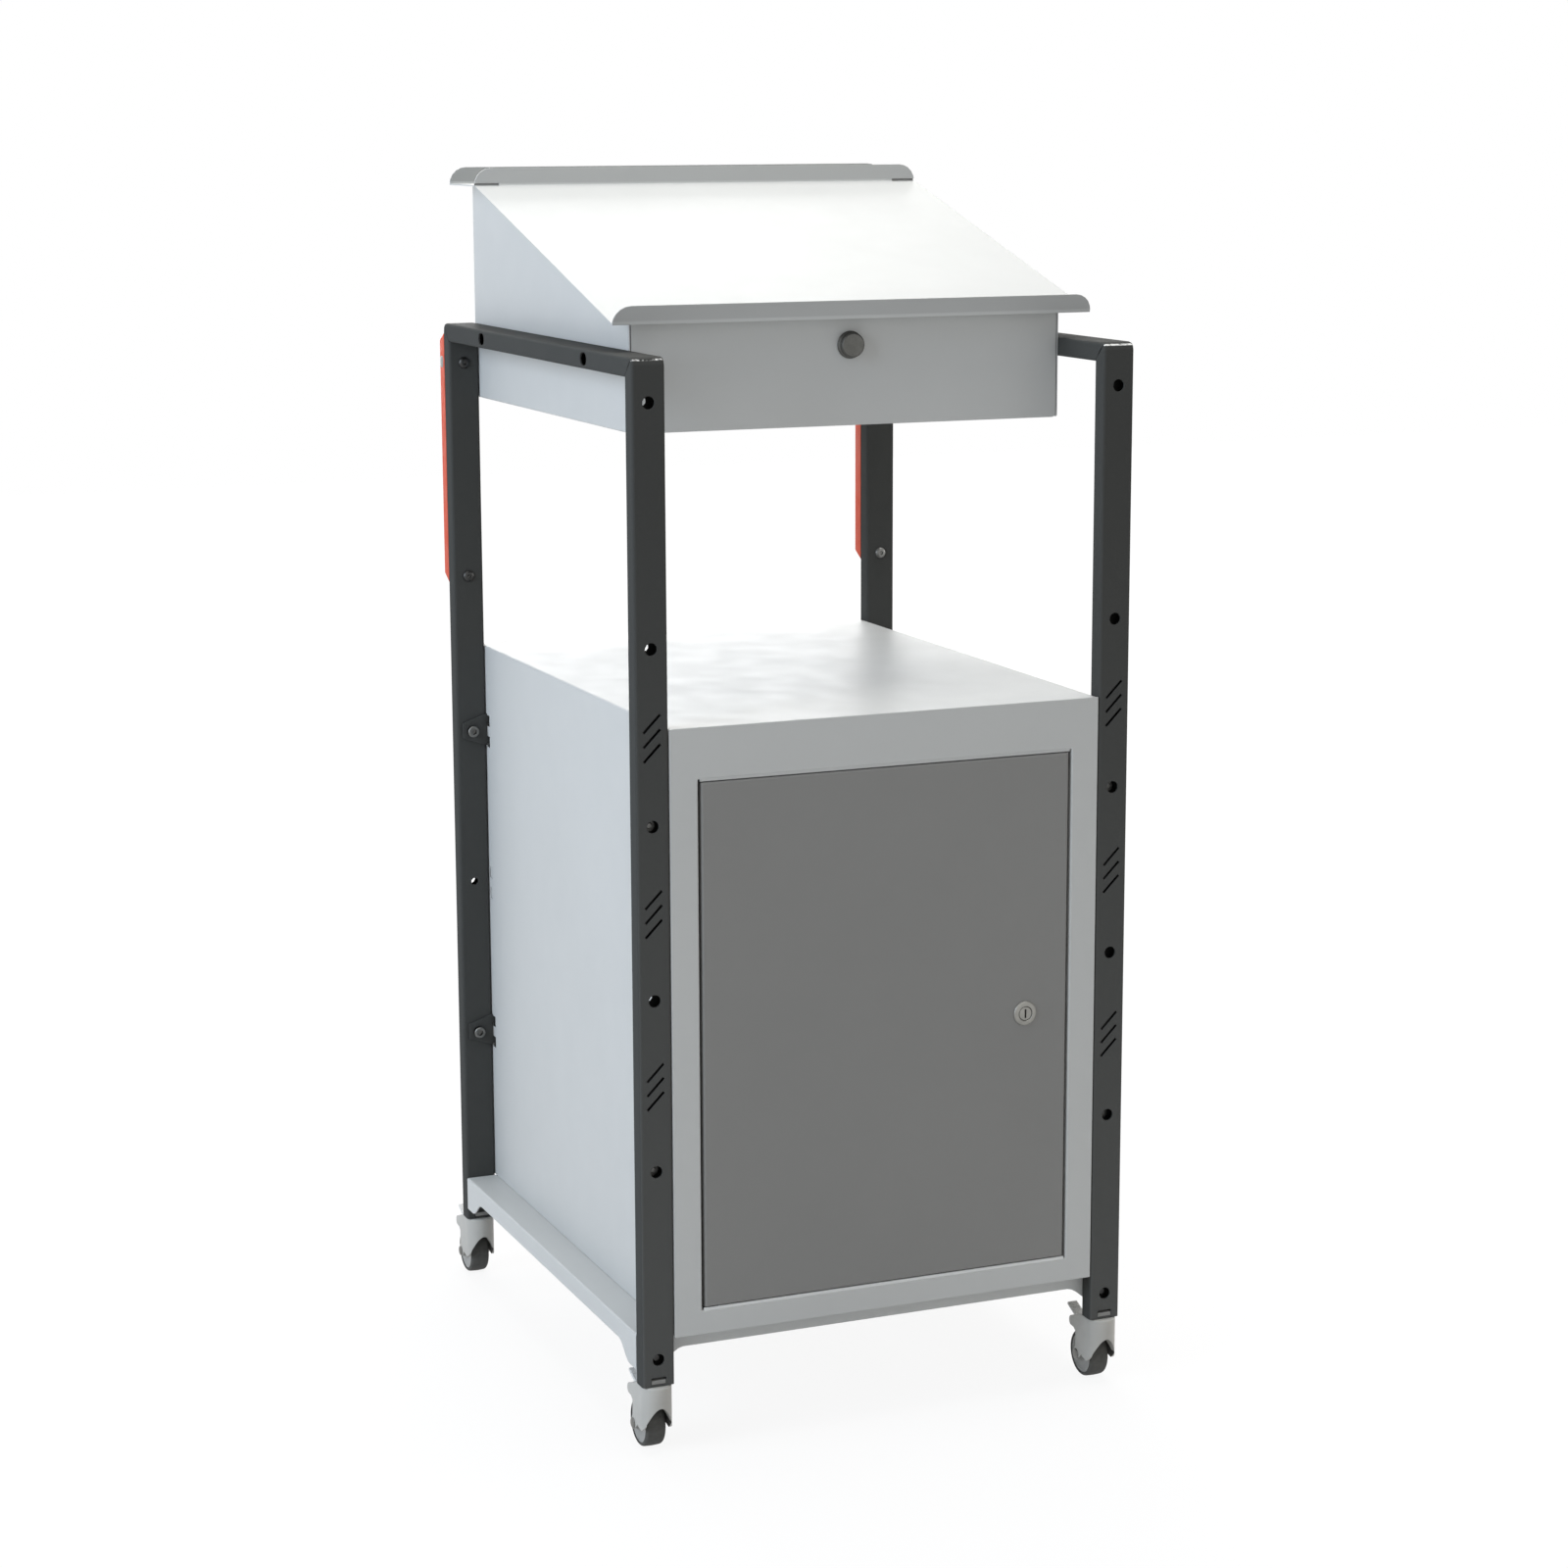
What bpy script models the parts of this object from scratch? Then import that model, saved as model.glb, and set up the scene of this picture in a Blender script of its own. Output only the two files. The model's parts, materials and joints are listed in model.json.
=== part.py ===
"""Mobile workshop desk: a sloped writing desk with a drawer over a lockable cabinet, on a caster frame.

X runs to the right, Y to the rear and Z up. The desk is drawn about the middle of its tube frame,
and everything hangs on one empty that puts the origin under the middle of the whole part.
"""

import math

import bmesh
import bpy

MM = 0.001

# Side frames: one folded rectangular tube on each side, an inverted U
FRAME_WIDTH = 550 * MM
FRAME_DEPTH = 615 * MM
FRAME_HEIGHT = 1126 * MM
FOOT_HEIGHT = 75 * MM
TUBE_WIDTH = 35 * MM
TUBE_DEPTH = 20 * MM
TUBE_WALL = 2 * MM
TUBE_RADIUS = 2.5 * MM
FOLD_INNER = 0.5 * MM
FOLD_EASE = 7 * MM
MITRE_SLIT_START = 7.8 * MM
MITRE_SLIT_LENGTH = 9.4 * MM
MITRE_SLIT_WIDTH = 1.4 * MM
ACCESS_HOLE = 13 * MM
BOLT_HOLE = 9 * MM
DESK_HOLE_DROP = 44 * MM
GRIP_HOLE_DROP = 286 * MM
HOOK_HOLE_DROP = 464.5 * MM
HOOK_PITCH = 178.7 * MM
FOOT_HOLE_RISE = 28.5 * MM
RAIL_SLOT_INSET = 140 * MM
RAIL_SLOT_LENGTH = 20 * MM
SLIT_LENGTH = 25 * MM
SLIT_WIDTH = 2.8 * MM
SLIT_PITCH = 14.8 * MM
WINDOW_WIDTH = 16 * MM
WINDOW_HEIGHT = 7.4 * MM
WINDOW_RISE = 2 * MM

# Clearances
SEAT = 0.3 * MM
SIDE_GAP = 0.6 * MM
DOOR_GAP = 3 * MM
DRAWER_GAP = 1 * MM
SLOT_PLAY = 0.4 * MM
OVERCUT = 3 * MM

# Base tray: a folded pan that ties the uprights together
TRAY_RISE = 51.3 * MM
TRAY_SHEET = 1.5 * MM
TRAY_SKIRT = 20 * MM
TRAY_FOLD = 2 * MM
TAB_DROP = 18 * MM
TAB_LENGTH = 52 * MM
TAB_FLAT = 20 * MM

# Cabinet
SHEET = 1.2 * MM
SHEET_FOLD = 2.5 * MM
CABINET_HEIGHT = 632 * MM
PANEL_FLANGE = 20 * MM
FRONT_SHEET = 1.5 * MM
FRONT_RETURN = 18 * MM
FRONT_DROP = 2.4 * MM
STILE_WIDTH = 30.5 * MM
TOP_RAIL = 53 * MM
BOTTOM_RAIL = 25.5 * MM
SHELF_HEIGHT = 300 * MM
SHELF_FLANGE = 25 * MM
SHELF_PLAY = 1.5 * MM
SHELF_SETBACK = 34 * MM
SHELF_TAB_REACH = 12 * MM
SHELF_TAB_LENGTH = 20 * MM
SHELF_TAB_INSET = 60 * MM

# Door, its pivot pins and its cam lock
DOOR_DEPTH = 18 * MM
DOOR_EASE = 1 * MM
PIVOT_INSET = 12 * MM
PIVOT_DEPTH = 7 * MM
PIN_RADIUS = 3 * MM
PIN_COLLAR = 5 * MM
PIN_GRIP = 8 * MM
LOCK_INSET = 48.5 * MM
LOCK_RISE = 274 * MM
BEZEL_RADIUS = 13 * MM
BEZEL_HEIGHT = 2 * MM
BARREL_RADIUS = 9.5 * MM
PLUG_RADIUS = 7.5 * MM
KEY_SLOT_LENGTH = 9.6 * MM
KEY_SLOT_WIDTH = 2 * MM
KEY_SLOT_DEPTH = 6 * MM
TAIL_RADIUS = 4 * MM
CAM_REACH = 60 * MM
CAM_WIDTH = 16 * MM
CAM_SHEET = 2 * MM

# Hook brackets between the uprights and the cabinet
BRACKET_SHEET = 2.5 * MM
BRACKET_REACH = 28.5 * MM
BRACKET_NARROW = 9 * MM
BRACKET_WIDE = 18.4 * MM
HOOK_SPREAD = 12.2 * MM
HOOK_HALF = 4 * MM
HOOK_DROP = 4 * MM
HOOK_LIP = 3 * MM
HOOK_SLOT_BEYOND = 8 * MM

# Desk box, writing top and pen tray
DESK_DROP = 83.6 * MM
DESK_FRONT_SETBACK = 102.3 * MM
DESK_REAR_SETBACK = 7.7 * MM
DESK_FLANGE = 15 * MM
TOP_SHEET = 1.5 * MM
FRONT_RISE = 110 * MM
SLOPE_RISE = 127 * MM
FRONT_OVERHANG = 22 * MM
SIDE_OVERHANG = 25.5 * MM
REAR_OVERHANG = 4 * MM
PEN_TRAY_DEPTH = 92 * MM
LIP_HEIGHT = 19.5 * MM
LIP_TIP = 3 * MM
LIP_RADIUS = 18.5 * MM
LIP_FOLD = 1.2 * MM
LIP_SLOT_LENGTH = 28 * MM
LIP_SLOT_WIDTH = 1.8 * MM

# Drawer, its runners and its knob
DRAWER_FRONT_DEPTH = 18 * MM
DRAWER_CORNER = 4 * MM
RUNNER_RISE = 62 * MM
RUNNER_HEIGHT = 16 * MM
RUNNER_WIDTH = 13 * MM
RUNNER_SHEET = 1.5 * MM
DRAWER_FLOOR_RISE = 5 * MM
DRAWER_REAR_GAP = 12 * MM
KNOB_DROP = 28.5 * MM
KNOB_RADIUS = 13 * MM
KNOB_FACE = 10.5 * MM
KNOB_WAIST = 11 * MM
KNOB_DEPTH = 16 * MM

# Rear grips
GRIP_WIDTH = 34 * MM
GRIP_DEPTH = 18 * MM
GRIP_LENGTH = 287.5 * MM
GRIP_CHAMFER = 10 * MM
GRIP_EASE = 3 * MM
GRIP_TOP_DROP = 9.2 * MM

# Casters, drawn with the swivel axis at X = Y = 0 and the wheel trailing to the rear
WHEEL_RADIUS = 26 * MM
WHEEL_WIDTH = 22 * MM
TYRE_BAND = 4.2 * MM
TYRE_SHOULDER = 3.7 * MM
TYRE_INSET = 0.5 * MM
HUB_BOSS = 4 * MM
HUB_RIM = 3 * MM
HUB_DRAFT = 1 * MM
WHEEL_FACETS = 24
TRAIL = 23.5 * MM
AXLE_RADIUS = 4 * MM
AXLE_HEAD = 6 * MM
AXLE_HEAD_HEIGHT = 1.5 * MM
AXLE_BOSS = 6.5 * MM
FORK_RADIUS = 16.5 * MM
CHEEK = 3 * MM
CHEEK_REAR = 25 * MM
CHEEK_TIP_AHEAD = 1 * MM
CHEEK_TIP_DROP = 49.5 * MM
CHEEK_NOTCH_REAR = 11.5 * MM
CHEEK_NOTCH_DROP = 47 * MM
FRONT_EDGE_DROP = 27 * MM
FRONT_EDGE_SAG = 1.8 * MM
EAR_RADIUS = 6 * MM
EAR_NOTCH = 5 * MM
WHEEL_PLAY = 2 * MM
ARCH_DROP = 22.5 * MM
ARCH_FALL = 18 * MM
FORK_GAP = 0.5 * MM
STEM_RADIUS = 5.5 * MM
STEM_LENGTH = 19 * MM
PLUG_LENGTH = 18 * MM
PLUG_TAB = 4.2 * MM
PLUG_STEP = 4 * MM
PEDAL_WIDTH = 11 * MM
PEDAL_REACH = 66 * MM
PEDAL_PLAY = 1.2 * MM
PEDAL_PIN = 2 * MM
PEDAL_HEEL = 3.5 * MM
PEDAL_UPPER = 2.5 * MM
PEDAL_LOWER = 3 * MM
PEDAL_BEND = 12.5 * MM
PEDAL_SLANT = 1.2 * MM
PEDAL_TIP = 10 * MM
PEDAL_SHEET = 2.8 * MM
SHOE_REACH = 8 * MM
SHOE_LENGTH = 3 * MM
SHOE_DROP = 10.5 * MM
SHOE_SLANT = 0.5 * MM
PEDAL_PIVOT_REAR = 34 * MM
PEDAL_PIVOT_DROP = 15 * MM

# Places that several pieces share
FRONT = -FRAME_DEPTH / 2
REAR = FRAME_DEPTH / 2
TUBE_X = FRAME_WIDTH / 2 - TUBE_WIDTH / 2
TUBE_Y = FRAME_DEPTH / 2 - TUBE_DEPTH / 2
INNER_FACE = FRAME_WIDTH / 2 - TUBE_WIDTH
BODY_HALF = INNER_FACE - SIDE_GAP
BODY_INNER = BODY_HALF - SHEET
TRAY_TOP = FOOT_HEIGHT + TRAY_RISE
CABINET_BOTTOM = TRAY_TOP + SEAT
CABINET_TOP = CABINET_BOTTOM + CABINET_HEIGHT
PLATE_BOTTOM = CABINET_BOTTOM - FRONT_DROP
OPENING_HALF = BODY_HALF - STILE_WIDTH
OPENING_BOTTOM = PLATE_BOTTOM + BOTTOM_RAIL
OPENING_TOP = CABINET_TOP - TOP_RAIL
DOOR_HALF = OPENING_HALF - DOOR_GAP
DOOR_BOTTOM = OPENING_BOTTOM + DOOR_GAP
DOOR_TOP = OPENING_TOP - DOOR_GAP
HINGE_X = -DOOR_HALF + PIVOT_INSET
HINGE_Y = FRONT + PIVOT_DEPTH
LOCK_X = DOOR_HALF - LOCK_INSET
LOCK_Z = DOOR_BOTTOM + LOCK_RISE
CAM_Y = FRONT + max(DOOR_DEPTH, FRONT_RETURN) + 2 * SEAT
SHELF_BOTTOM = CABINET_BOTTOM + SHELF_HEIGHT
DESK_BOTTOM = FRAME_HEIGHT - DESK_DROP
DESK_FRONT = FRONT + DESK_FRONT_SETBACK
DESK_REAR = REAR - DESK_REAR_SETBACK
LIP_FRONT = DESK_FRONT - FRONT_OVERHANG
LIP_FAR = DESK_REAR + REAR_OVERHANG
LIP_NEAR = LIP_FAR - PEN_TRAY_DEPTH
TOP_FRONT_Z = DESK_BOTTOM + FRONT_RISE
TOP_REAR_Z = TOP_FRONT_Z + SLOPE_RISE
TOP_HALF = BODY_HALF + SIDE_OVERHANG
SLOPE = SLOPE_RISE / (LIP_NEAR + TOP_SHEET - LIP_FRONT)
RUNNER_BOTTOM = DESK_BOTTOM + RUNNER_RISE
RUNNER_FRONT = DESK_FRONT + DRAWER_FRONT_DEPTH + OVERCUT
RUNNER_REAR = DESK_REAR - DESK_FLANGE - OVERCUT
AXLE_HEIGHT = WHEEL_RADIUS * math.cos(math.pi / WHEEL_FACETS)
PEDAL_PIVOT_HEIGHT = FOOT_HEIGHT - PEDAL_PIVOT_DROP
ORIGIN_SHIFT = (FORK_RADIUS - PEDAL_REACH) / 2


# Mesh helpers

def place(axis, a, b, along):
    """A point given by two values across an axis and one along it."""
    if axis == "X":
        return (along, a, b)
    if axis == "Y":
        return (a, along, b)
    return (a, b, along)


def skin(bm, loops, closed=False):
    """Joins loops of points with quads, and closes the ends with faces or the last loop to the first."""
    rings = [[bm.verts.new(point) for point in loop] for loop in loops]
    pairs = list(zip(rings, rings[1:]))
    if closed:
        pairs.append((rings[-1], rings[0]))
    else:
        bm.faces.new(rings[0])
        bm.faces.new(rings[-1])
    for near, far in pairs:
        for index in range(len(near)):
            after = (index + 1) % len(near)
            bm.faces.new((near[index], near[after], far[after], far[index]))
    return bm


def prism(bm, outline, axis, low, high):
    """A flat outline drawn out along an axis."""
    return skin(bm, [[place(axis, a, b, along) for a, b in outline] for along in (low, high)])


def box(bm, low, high):
    """A block between two corners."""
    outline = [(low[0], low[1]), (high[0], low[1]), (high[0], high[1]), (low[0], high[1])]
    return prism(bm, outline, "Z", low[2], high[2])


def arc(center_a, center_b, radius, start, end, steps=4):
    """Points on a round stretch, with its angles in degrees."""
    angles = [math.radians(start + (end - start) * step / steps) for step in range(steps + 1)]
    return [(center_a + radius * math.cos(angle), center_b + radius * math.sin(angle)) for angle in angles]


def lathe(bm, profile, axis, center, segments, closed=False):
    """A turned piece: radius and place along the axis for each point of its profile."""
    turn = 360 / segments
    loops = []
    for radius, along in profile:
        ring = arc(center[0], center[1], radius, turn / 2, turn / 2 + 360 - turn, segments - 1)
        loops.append([place(axis, a, b, along) for a, b in ring])
    return skin(bm, loops, closed)


def bore(bm, radius, axis, center, low, high, segments):
    """A plain round bar between two places on its axis, mostly the tool for a hole."""
    return lathe(bm, [(radius, low), (radius, high)], axis, center, segments)


def rect(axis, low_a, high_a, low_b, high_b, along):
    """A rectangle across an axis, as a loop of four corners."""
    corners = ((low_a, low_b), (high_a, low_b), (high_a, high_b), (low_a, high_b))
    return [place(axis, a, b, along) for a, b in corners]


def pan(axis, low_a, high_a, low_b, high_b, face, rim, sheet):
    """A folded tray: a plate at the face with four flanges that reach to the rim."""
    inward = math.copysign(sheet, rim - face)
    inner = (low_a + sheet, high_a - sheet, low_b + sheet, high_b - sheet)
    loops = [
        rect(axis, low_a, high_a, low_b, high_b, face),
        rect(axis, low_a, high_a, low_b, high_b, rim),
        rect(axis, *inner, rim),
        rect(axis, *inner, face + inward),
    ]
    return skin(bmesh.new(), loops)


def ease(bm, radius, chosen, segments=2):
    """Rounds the edges that the test picks."""
    edges = [edge for edge in bm.edges if chosen(*[vert.co for vert in edge.verts])]
    bmesh.ops.bevel(bm, geom=edges, offset=radius, segments=segments, profile=0.5, affect="EDGES")
    return bm


def mesh_from(bm):
    """Turns a bmesh into a mesh with its faces pointing out."""
    bmesh.ops.recalc_face_normals(bm, faces=bm.faces)
    mesh = bpy.data.meshes.new("piece")
    bm.to_mesh(mesh)
    bm.free()
    return mesh


def carved(bm, *steps):
    """The mesh of a solid after each step, a Boolean operation with its tool."""
    collection = bpy.context.scene.collection
    base = bpy.data.objects.new("base", mesh_from(bm))
    collection.objects.link(base)
    tools = []
    for operation, tool_bm in steps:
        tool = bpy.data.objects.new("tool", mesh_from(tool_bm))
        collection.objects.link(tool)
        modifier = base.modifiers.new(operation, "BOOLEAN")
        modifier.operation = operation
        modifier.object = tool
        tools.append(tool)
    bpy.context.view_layer.update()
    evaluated = base.evaluated_get(bpy.context.evaluated_depsgraph_get())
    mesh = bpy.data.meshes.new_from_object(evaluated)
    for leftover in [base] + tools:
        bpy.data.objects.remove(leftover)
    return mesh


def add_piece(name, mesh, finish, parent):
    """Puts a mesh into the scene as a named piece with its finish, carried by a parent."""
    if isinstance(mesh, bmesh.types.BMesh):
        mesh = mesh_from(mesh)
    mesh.shade_smooth()
    mesh.set_sharp_from_angle(angle=math.radians(35))
    mesh.materials.clear()
    mesh.materials.append(finish)
    piece = bpy.data.objects.new(name, mesh)
    bpy.context.scene.collection.objects.link(piece)
    piece.parent = parent
    return piece


def add_empty(name, parent, location):
    """An empty that carries pieces, on a joint's axis where they move."""
    empty = bpy.data.objects.new(name, None)
    bpy.context.scene.collection.objects.link(empty)
    empty.parent = parent
    empty.location = location
    return empty


def paint(name, color, roughness, metallic=0.0):
    """A finish with its colour, roughness and metallic value."""
    finish = bpy.data.materials.new(name)
    finish.use_nodes = True
    shader = finish.node_tree.nodes["Principled BSDF"]
    shader.inputs["Base Color"].default_value = (*color, 1.0)
    shader.inputs["Roughness"].default_value = roughness
    shader.inputs["Metallic"].default_value = metallic
    return finish


# Side frames

def hole_heights():
    """The row of holes along each upright, from the top down."""
    top = [FRAME_HEIGHT - DESK_HOLE_DROP, FRAME_HEIGHT - GRIP_HOLE_DROP]
    return top + hook_heights() + [FOOT_HEIGHT + FOOT_HOLE_RISE]


def hook_heights():
    """The three holes that can take a hook bracket."""
    return [FRAME_HEIGHT - HOOK_HOLE_DROP - step * HOOK_PITCH for step in range(3)]


def rounded_section(half_a, half_b, radius, steps):
    """A rectangle with rounded corners, as a loop of points."""
    corners = ((1, 1, 0), (-1, 1, 90), (-1, -1, 180), (1, -1, 270))
    loop = []
    for sign_a, sign_b, start in corners:
        center = (sign_a * (half_a - radius), sign_b * (half_b - radius))
        loop += arc(*center, radius, start, start + 90, steps)
    return loop


def bent_tube(section, middle, foot, folds):
    """A section led up one upright, along the rail and down the other, rounded outside at the folds."""
    rail = FRAME_HEIGHT - TUBE_DEPTH / 2
    turns = [math.radians(90 * step / folds) for step in range(folds + 1)]
    climb = [[(middle + a, -TUBE_Y - b, foot) for a, b in section]]
    for turn in turns:
        ring = []
        for a, b in section:
            radius = FOLD_INNER + FOLD_EASE * (b / TUBE_DEPTH + 0.5)
            y = TUBE_Y + b - radius * (1 - math.cos(turn))
            ring.append((middle + a, -y, rail + b - radius * (1 - math.sin(turn))))
        climb.append(ring)
    descent = [[(x, -y, z) for x, y, z in ring] for ring in reversed(climb)]
    return skin(bmesh.new(), climb + descent)


def slit_outline(x, z, lean):
    """A slanting slit, seen from the front."""
    run = SLIT_LENGTH / 2 * math.sqrt(0.5)
    wide = SLIT_WIDTH / 2 * math.sqrt(0.5)
    upper, lower = (run - wide, run + wide), (wide - run, -run - wide)
    corners = ((-run - wide, wide - run), upper, (run + wide, run - wide), lower)
    return [(x + lean * a, z + b) for a, b in corners]


def mitre_slit(bm, middle, end):
    """The open stretch of the mitre where the tube's sides were cut to fold a corner."""
    near, far = MITRE_SLIT_START, MITRE_SLIT_START + MITRE_SLIT_LENGTH
    half = MITRE_SLIT_WIDTH / 2
    outline = []
    for along, across in ((near, -half), (far, -half), (far, half), (near, half)):
        inward = (along + across) * math.sqrt(0.5)
        drop = (along - across) * math.sqrt(0.5)
        outline.append((end * (FRAME_DEPTH / 2 - inward), FRAME_HEIGHT - drop))
    prism(bm, outline, "X", middle - TUBE_WIDTH / 2 - OVERCUT, middle + TUBE_WIDTH / 2 + OVERCUT)


def upright_hole(bm, center, end):
    """An access hole in the outer wall of an upright and the bolt hole opposite it in the inner wall."""
    outer = FRAME_DEPTH / 2
    bore(bm, ACCESS_HOLE / 2, "Y", center, end * (outer + OVERCUT), end * (outer - 2 * TUBE_WALL), 12)
    bore(bm, BOLT_HOLE / 2, "Y", center, end * TUBE_Y, end * (outer - TUBE_DEPTH - OVERCUT), 8)


def rail_slot(bm, side, end):
    """A round-ended slot in the rail's outer wall and a bolt hole behind it in the inner wall."""
    y = end * (FRAME_DEPTH / 2 - RAIL_SLOT_INSET)
    z = FRAME_HEIGHT - TUBE_DEPTH / 2
    reach = (RAIL_SLOT_LENGTH - ACCESS_HOLE) / 2
    outline = arc(y + reach, z, ACCESS_HOLE / 2, -90, 90) + arc(y - reach, z, ACCESS_HOLE / 2, 90, 270)
    outer = FRAME_WIDTH / 2
    prism(bm, outline, "X", side * (outer + OVERCUT), side * (outer - 2 * TUBE_WALL))
    bore(bm, BOLT_HOLE / 2, "X", (y, z), side * TUBE_X, side * (INNER_FACE - OVERCUT), 8)


def upright_cuts(bm, x, end):
    """Access holes, bolt holes, slits and caster windows of the upright at one end of a frame."""
    outer = end * FRAME_DEPTH / 2
    inner = end * (FRAME_DEPTH / 2 - TUBE_DEPTH)
    heights = hole_heights()
    for height in heights:
        upright_hole(bm, (x, height), end)
    for above, below in zip(heights[1:4], heights[2:5]):
        for step in (-1, 0, 1):
            outline = slit_outline(x, (above + below) / 2 + step * SLIT_PITCH, -end)
            prism(bm, outline, "Y", outer + end * OVERCUT, end * TUBE_Y)
    low = FOOT_HEIGHT + WINDOW_RISE
    corner_a = (x - WINDOW_WIDTH / 2, min(outer, inner) - OVERCUT, low)
    corner_b = (x + WINDOW_WIDTH / 2, max(outer, inner) + OVERCUT, low + WINDOW_HEIGHT)
    box(bm, corner_a, corner_b)


def side_frame(side):
    """One inverted U of tube, hollow and open at its feet, with its holes."""
    middle = side * TUBE_X
    section = rounded_section(TUBE_WIDTH / 2, TUBE_DEPTH / 2, TUBE_RADIUS, 2)
    tube = bent_tube(section, middle, FOOT_HEIGHT, 3)
    room_x = TUBE_WIDTH / 2 - TUBE_WALL
    room_y = TUBE_DEPTH / 2 - TUBE_WALL
    void = bent_tube([(room_x, room_y), (-room_x, room_y), (-room_x, -room_y), (room_x, -room_y)],
                     middle, FOOT_HEIGHT - OVERCUT, 1)
    holes = bmesh.new()
    for end in (-1, 1):
        upright_cuts(holes, middle, end)
        mitre_slit(holes, middle, end)
        rail_slot(holes, side, end)
    return carved(tube, ("DIFFERENCE", void), ("DIFFERENCE", holes))


def hook_bracket(side, end, height):
    """A plate on an upright's inner face, with two hooks through slots in the cabinet's side."""
    through = SIDE_GAP + SHEET + SEAT
    outline = [(-BRACKET_REACH, -BRACKET_NARROW), (-BRACKET_REACH, BRACKET_NARROW), (0, BRACKET_WIDE)]
    for middle in (HOOK_SPREAD, -HOOK_SPREAD):
        outline += [
            (0, middle + HOOK_HALF),
            (through + HOOK_LIP, middle + HOOK_HALF),
            (through + HOOK_LIP, middle - HOOK_HALF - HOOK_DROP),
            (through, middle - HOOK_HALF - HOOK_DROP),
            (through, middle - HOOK_HALF),
            (0, middle - HOOK_HALF),
        ]
    outline.append((0, -BRACKET_WIDE))
    placed = [(side * (INNER_FACE - inward), height + rise) for inward, rise in outline]
    face = end * (FRAME_DEPTH / 2 - TUBE_DEPTH - SEAT)
    plate = prism(bmesh.new(), placed, "Y", face, face - end * BRACKET_SHEET)
    near, far = face + end * OVERCUT, face - end * (BRACKET_SHEET + OVERCUT)
    hole = bore(bmesh.new(), BOLT_HOLE / 2, "Y", (side * TUBE_X, height), near, far, 8)
    return carved(plate, ("DIFFERENCE", hole))


def rear_grip(side):
    """A moulded grip bar with sloped ends, on the rear face of a rear upright."""
    top = FRAME_HEIGHT - GRIP_TOP_DROP
    bottom = top - GRIP_LENGTH
    seat = REAR + SEAT
    back = seat + GRIP_DEPTH
    outline = [(seat, bottom), (back, bottom + GRIP_CHAMFER), (back, top - GRIP_CHAMFER), (seat, top)]
    middle = side * TUBE_X
    bar = prism(bmesh.new(), outline, "X", middle - GRIP_WIDTH / 2, middle + GRIP_WIDTH / 2)

    def stands_proud(start, end):
        return max(start.y, end.y) > seat + SEAT

    return ease(bar, GRIP_EASE, stands_proud, 3)


# Base tray

def skirt_cut(half):
    """What is cut away below a skirt: straight in the middle, with a soft bend down to each corner tab."""
    low = TRAY_TOP - TRAY_SKIRT - TAB_DROP
    bend = TAB_LENGTH - TAB_FLAT
    left = []
    for step in range(7):
        share = step / 6
        rise = TAB_DROP * share * share * (3 - 2 * share)
        left.append((TAB_FLAT - half + bend * share, low + rise))
    right = [(-a, b) for a, b in reversed(left)]
    foot = low - OVERCUT
    return [(TAB_FLAT - half, foot)] + left + right + [(half - TAB_FLAT, foot)]


def base_tray():
    """The pan under the cabinet, with a skirt all round and a bolted tab at each corner."""
    half_x = FRAME_WIDTH / 2 - SEAT
    half_y = FRAME_DEPTH / 2 - TUBE_DEPTH - SEAT
    rim = TRAY_TOP - TRAY_SKIRT - TAB_DROP
    tray = pan("Z", -half_x, half_x, -half_y, half_y, TRAY_TOP, rim, TRAY_SHEET)

    def on_top(start, end):
        return min(start.z, end.z) > TRAY_TOP - SEAT

    ease(tray, TRAY_FOLD, on_top)
    sides = prism(bmesh.new(), skirt_cut(half_y), "X", -half_x - OVERCUT, half_x + OVERCUT)
    ends = prism(bmesh.new(), skirt_cut(half_x), "Y", -half_y - OVERCUT, half_y + OVERCUT)
    holes = bmesh.new()
    for side in (-1, 1):
        for end in (-1, 1):
            center = (side * TUBE_X, FOOT_HEIGHT + FOOT_HOLE_RISE)
            bore(holes, BOLT_HOLE / 2, "Y", center, end * half_y - OVERCUT, end * half_y + OVERCUT, 8)
    return carved(tray, ("DIFFERENCE", sides), ("DIFFERENCE", ends), ("DIFFERENCE", holes))


# Cabinet

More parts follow.
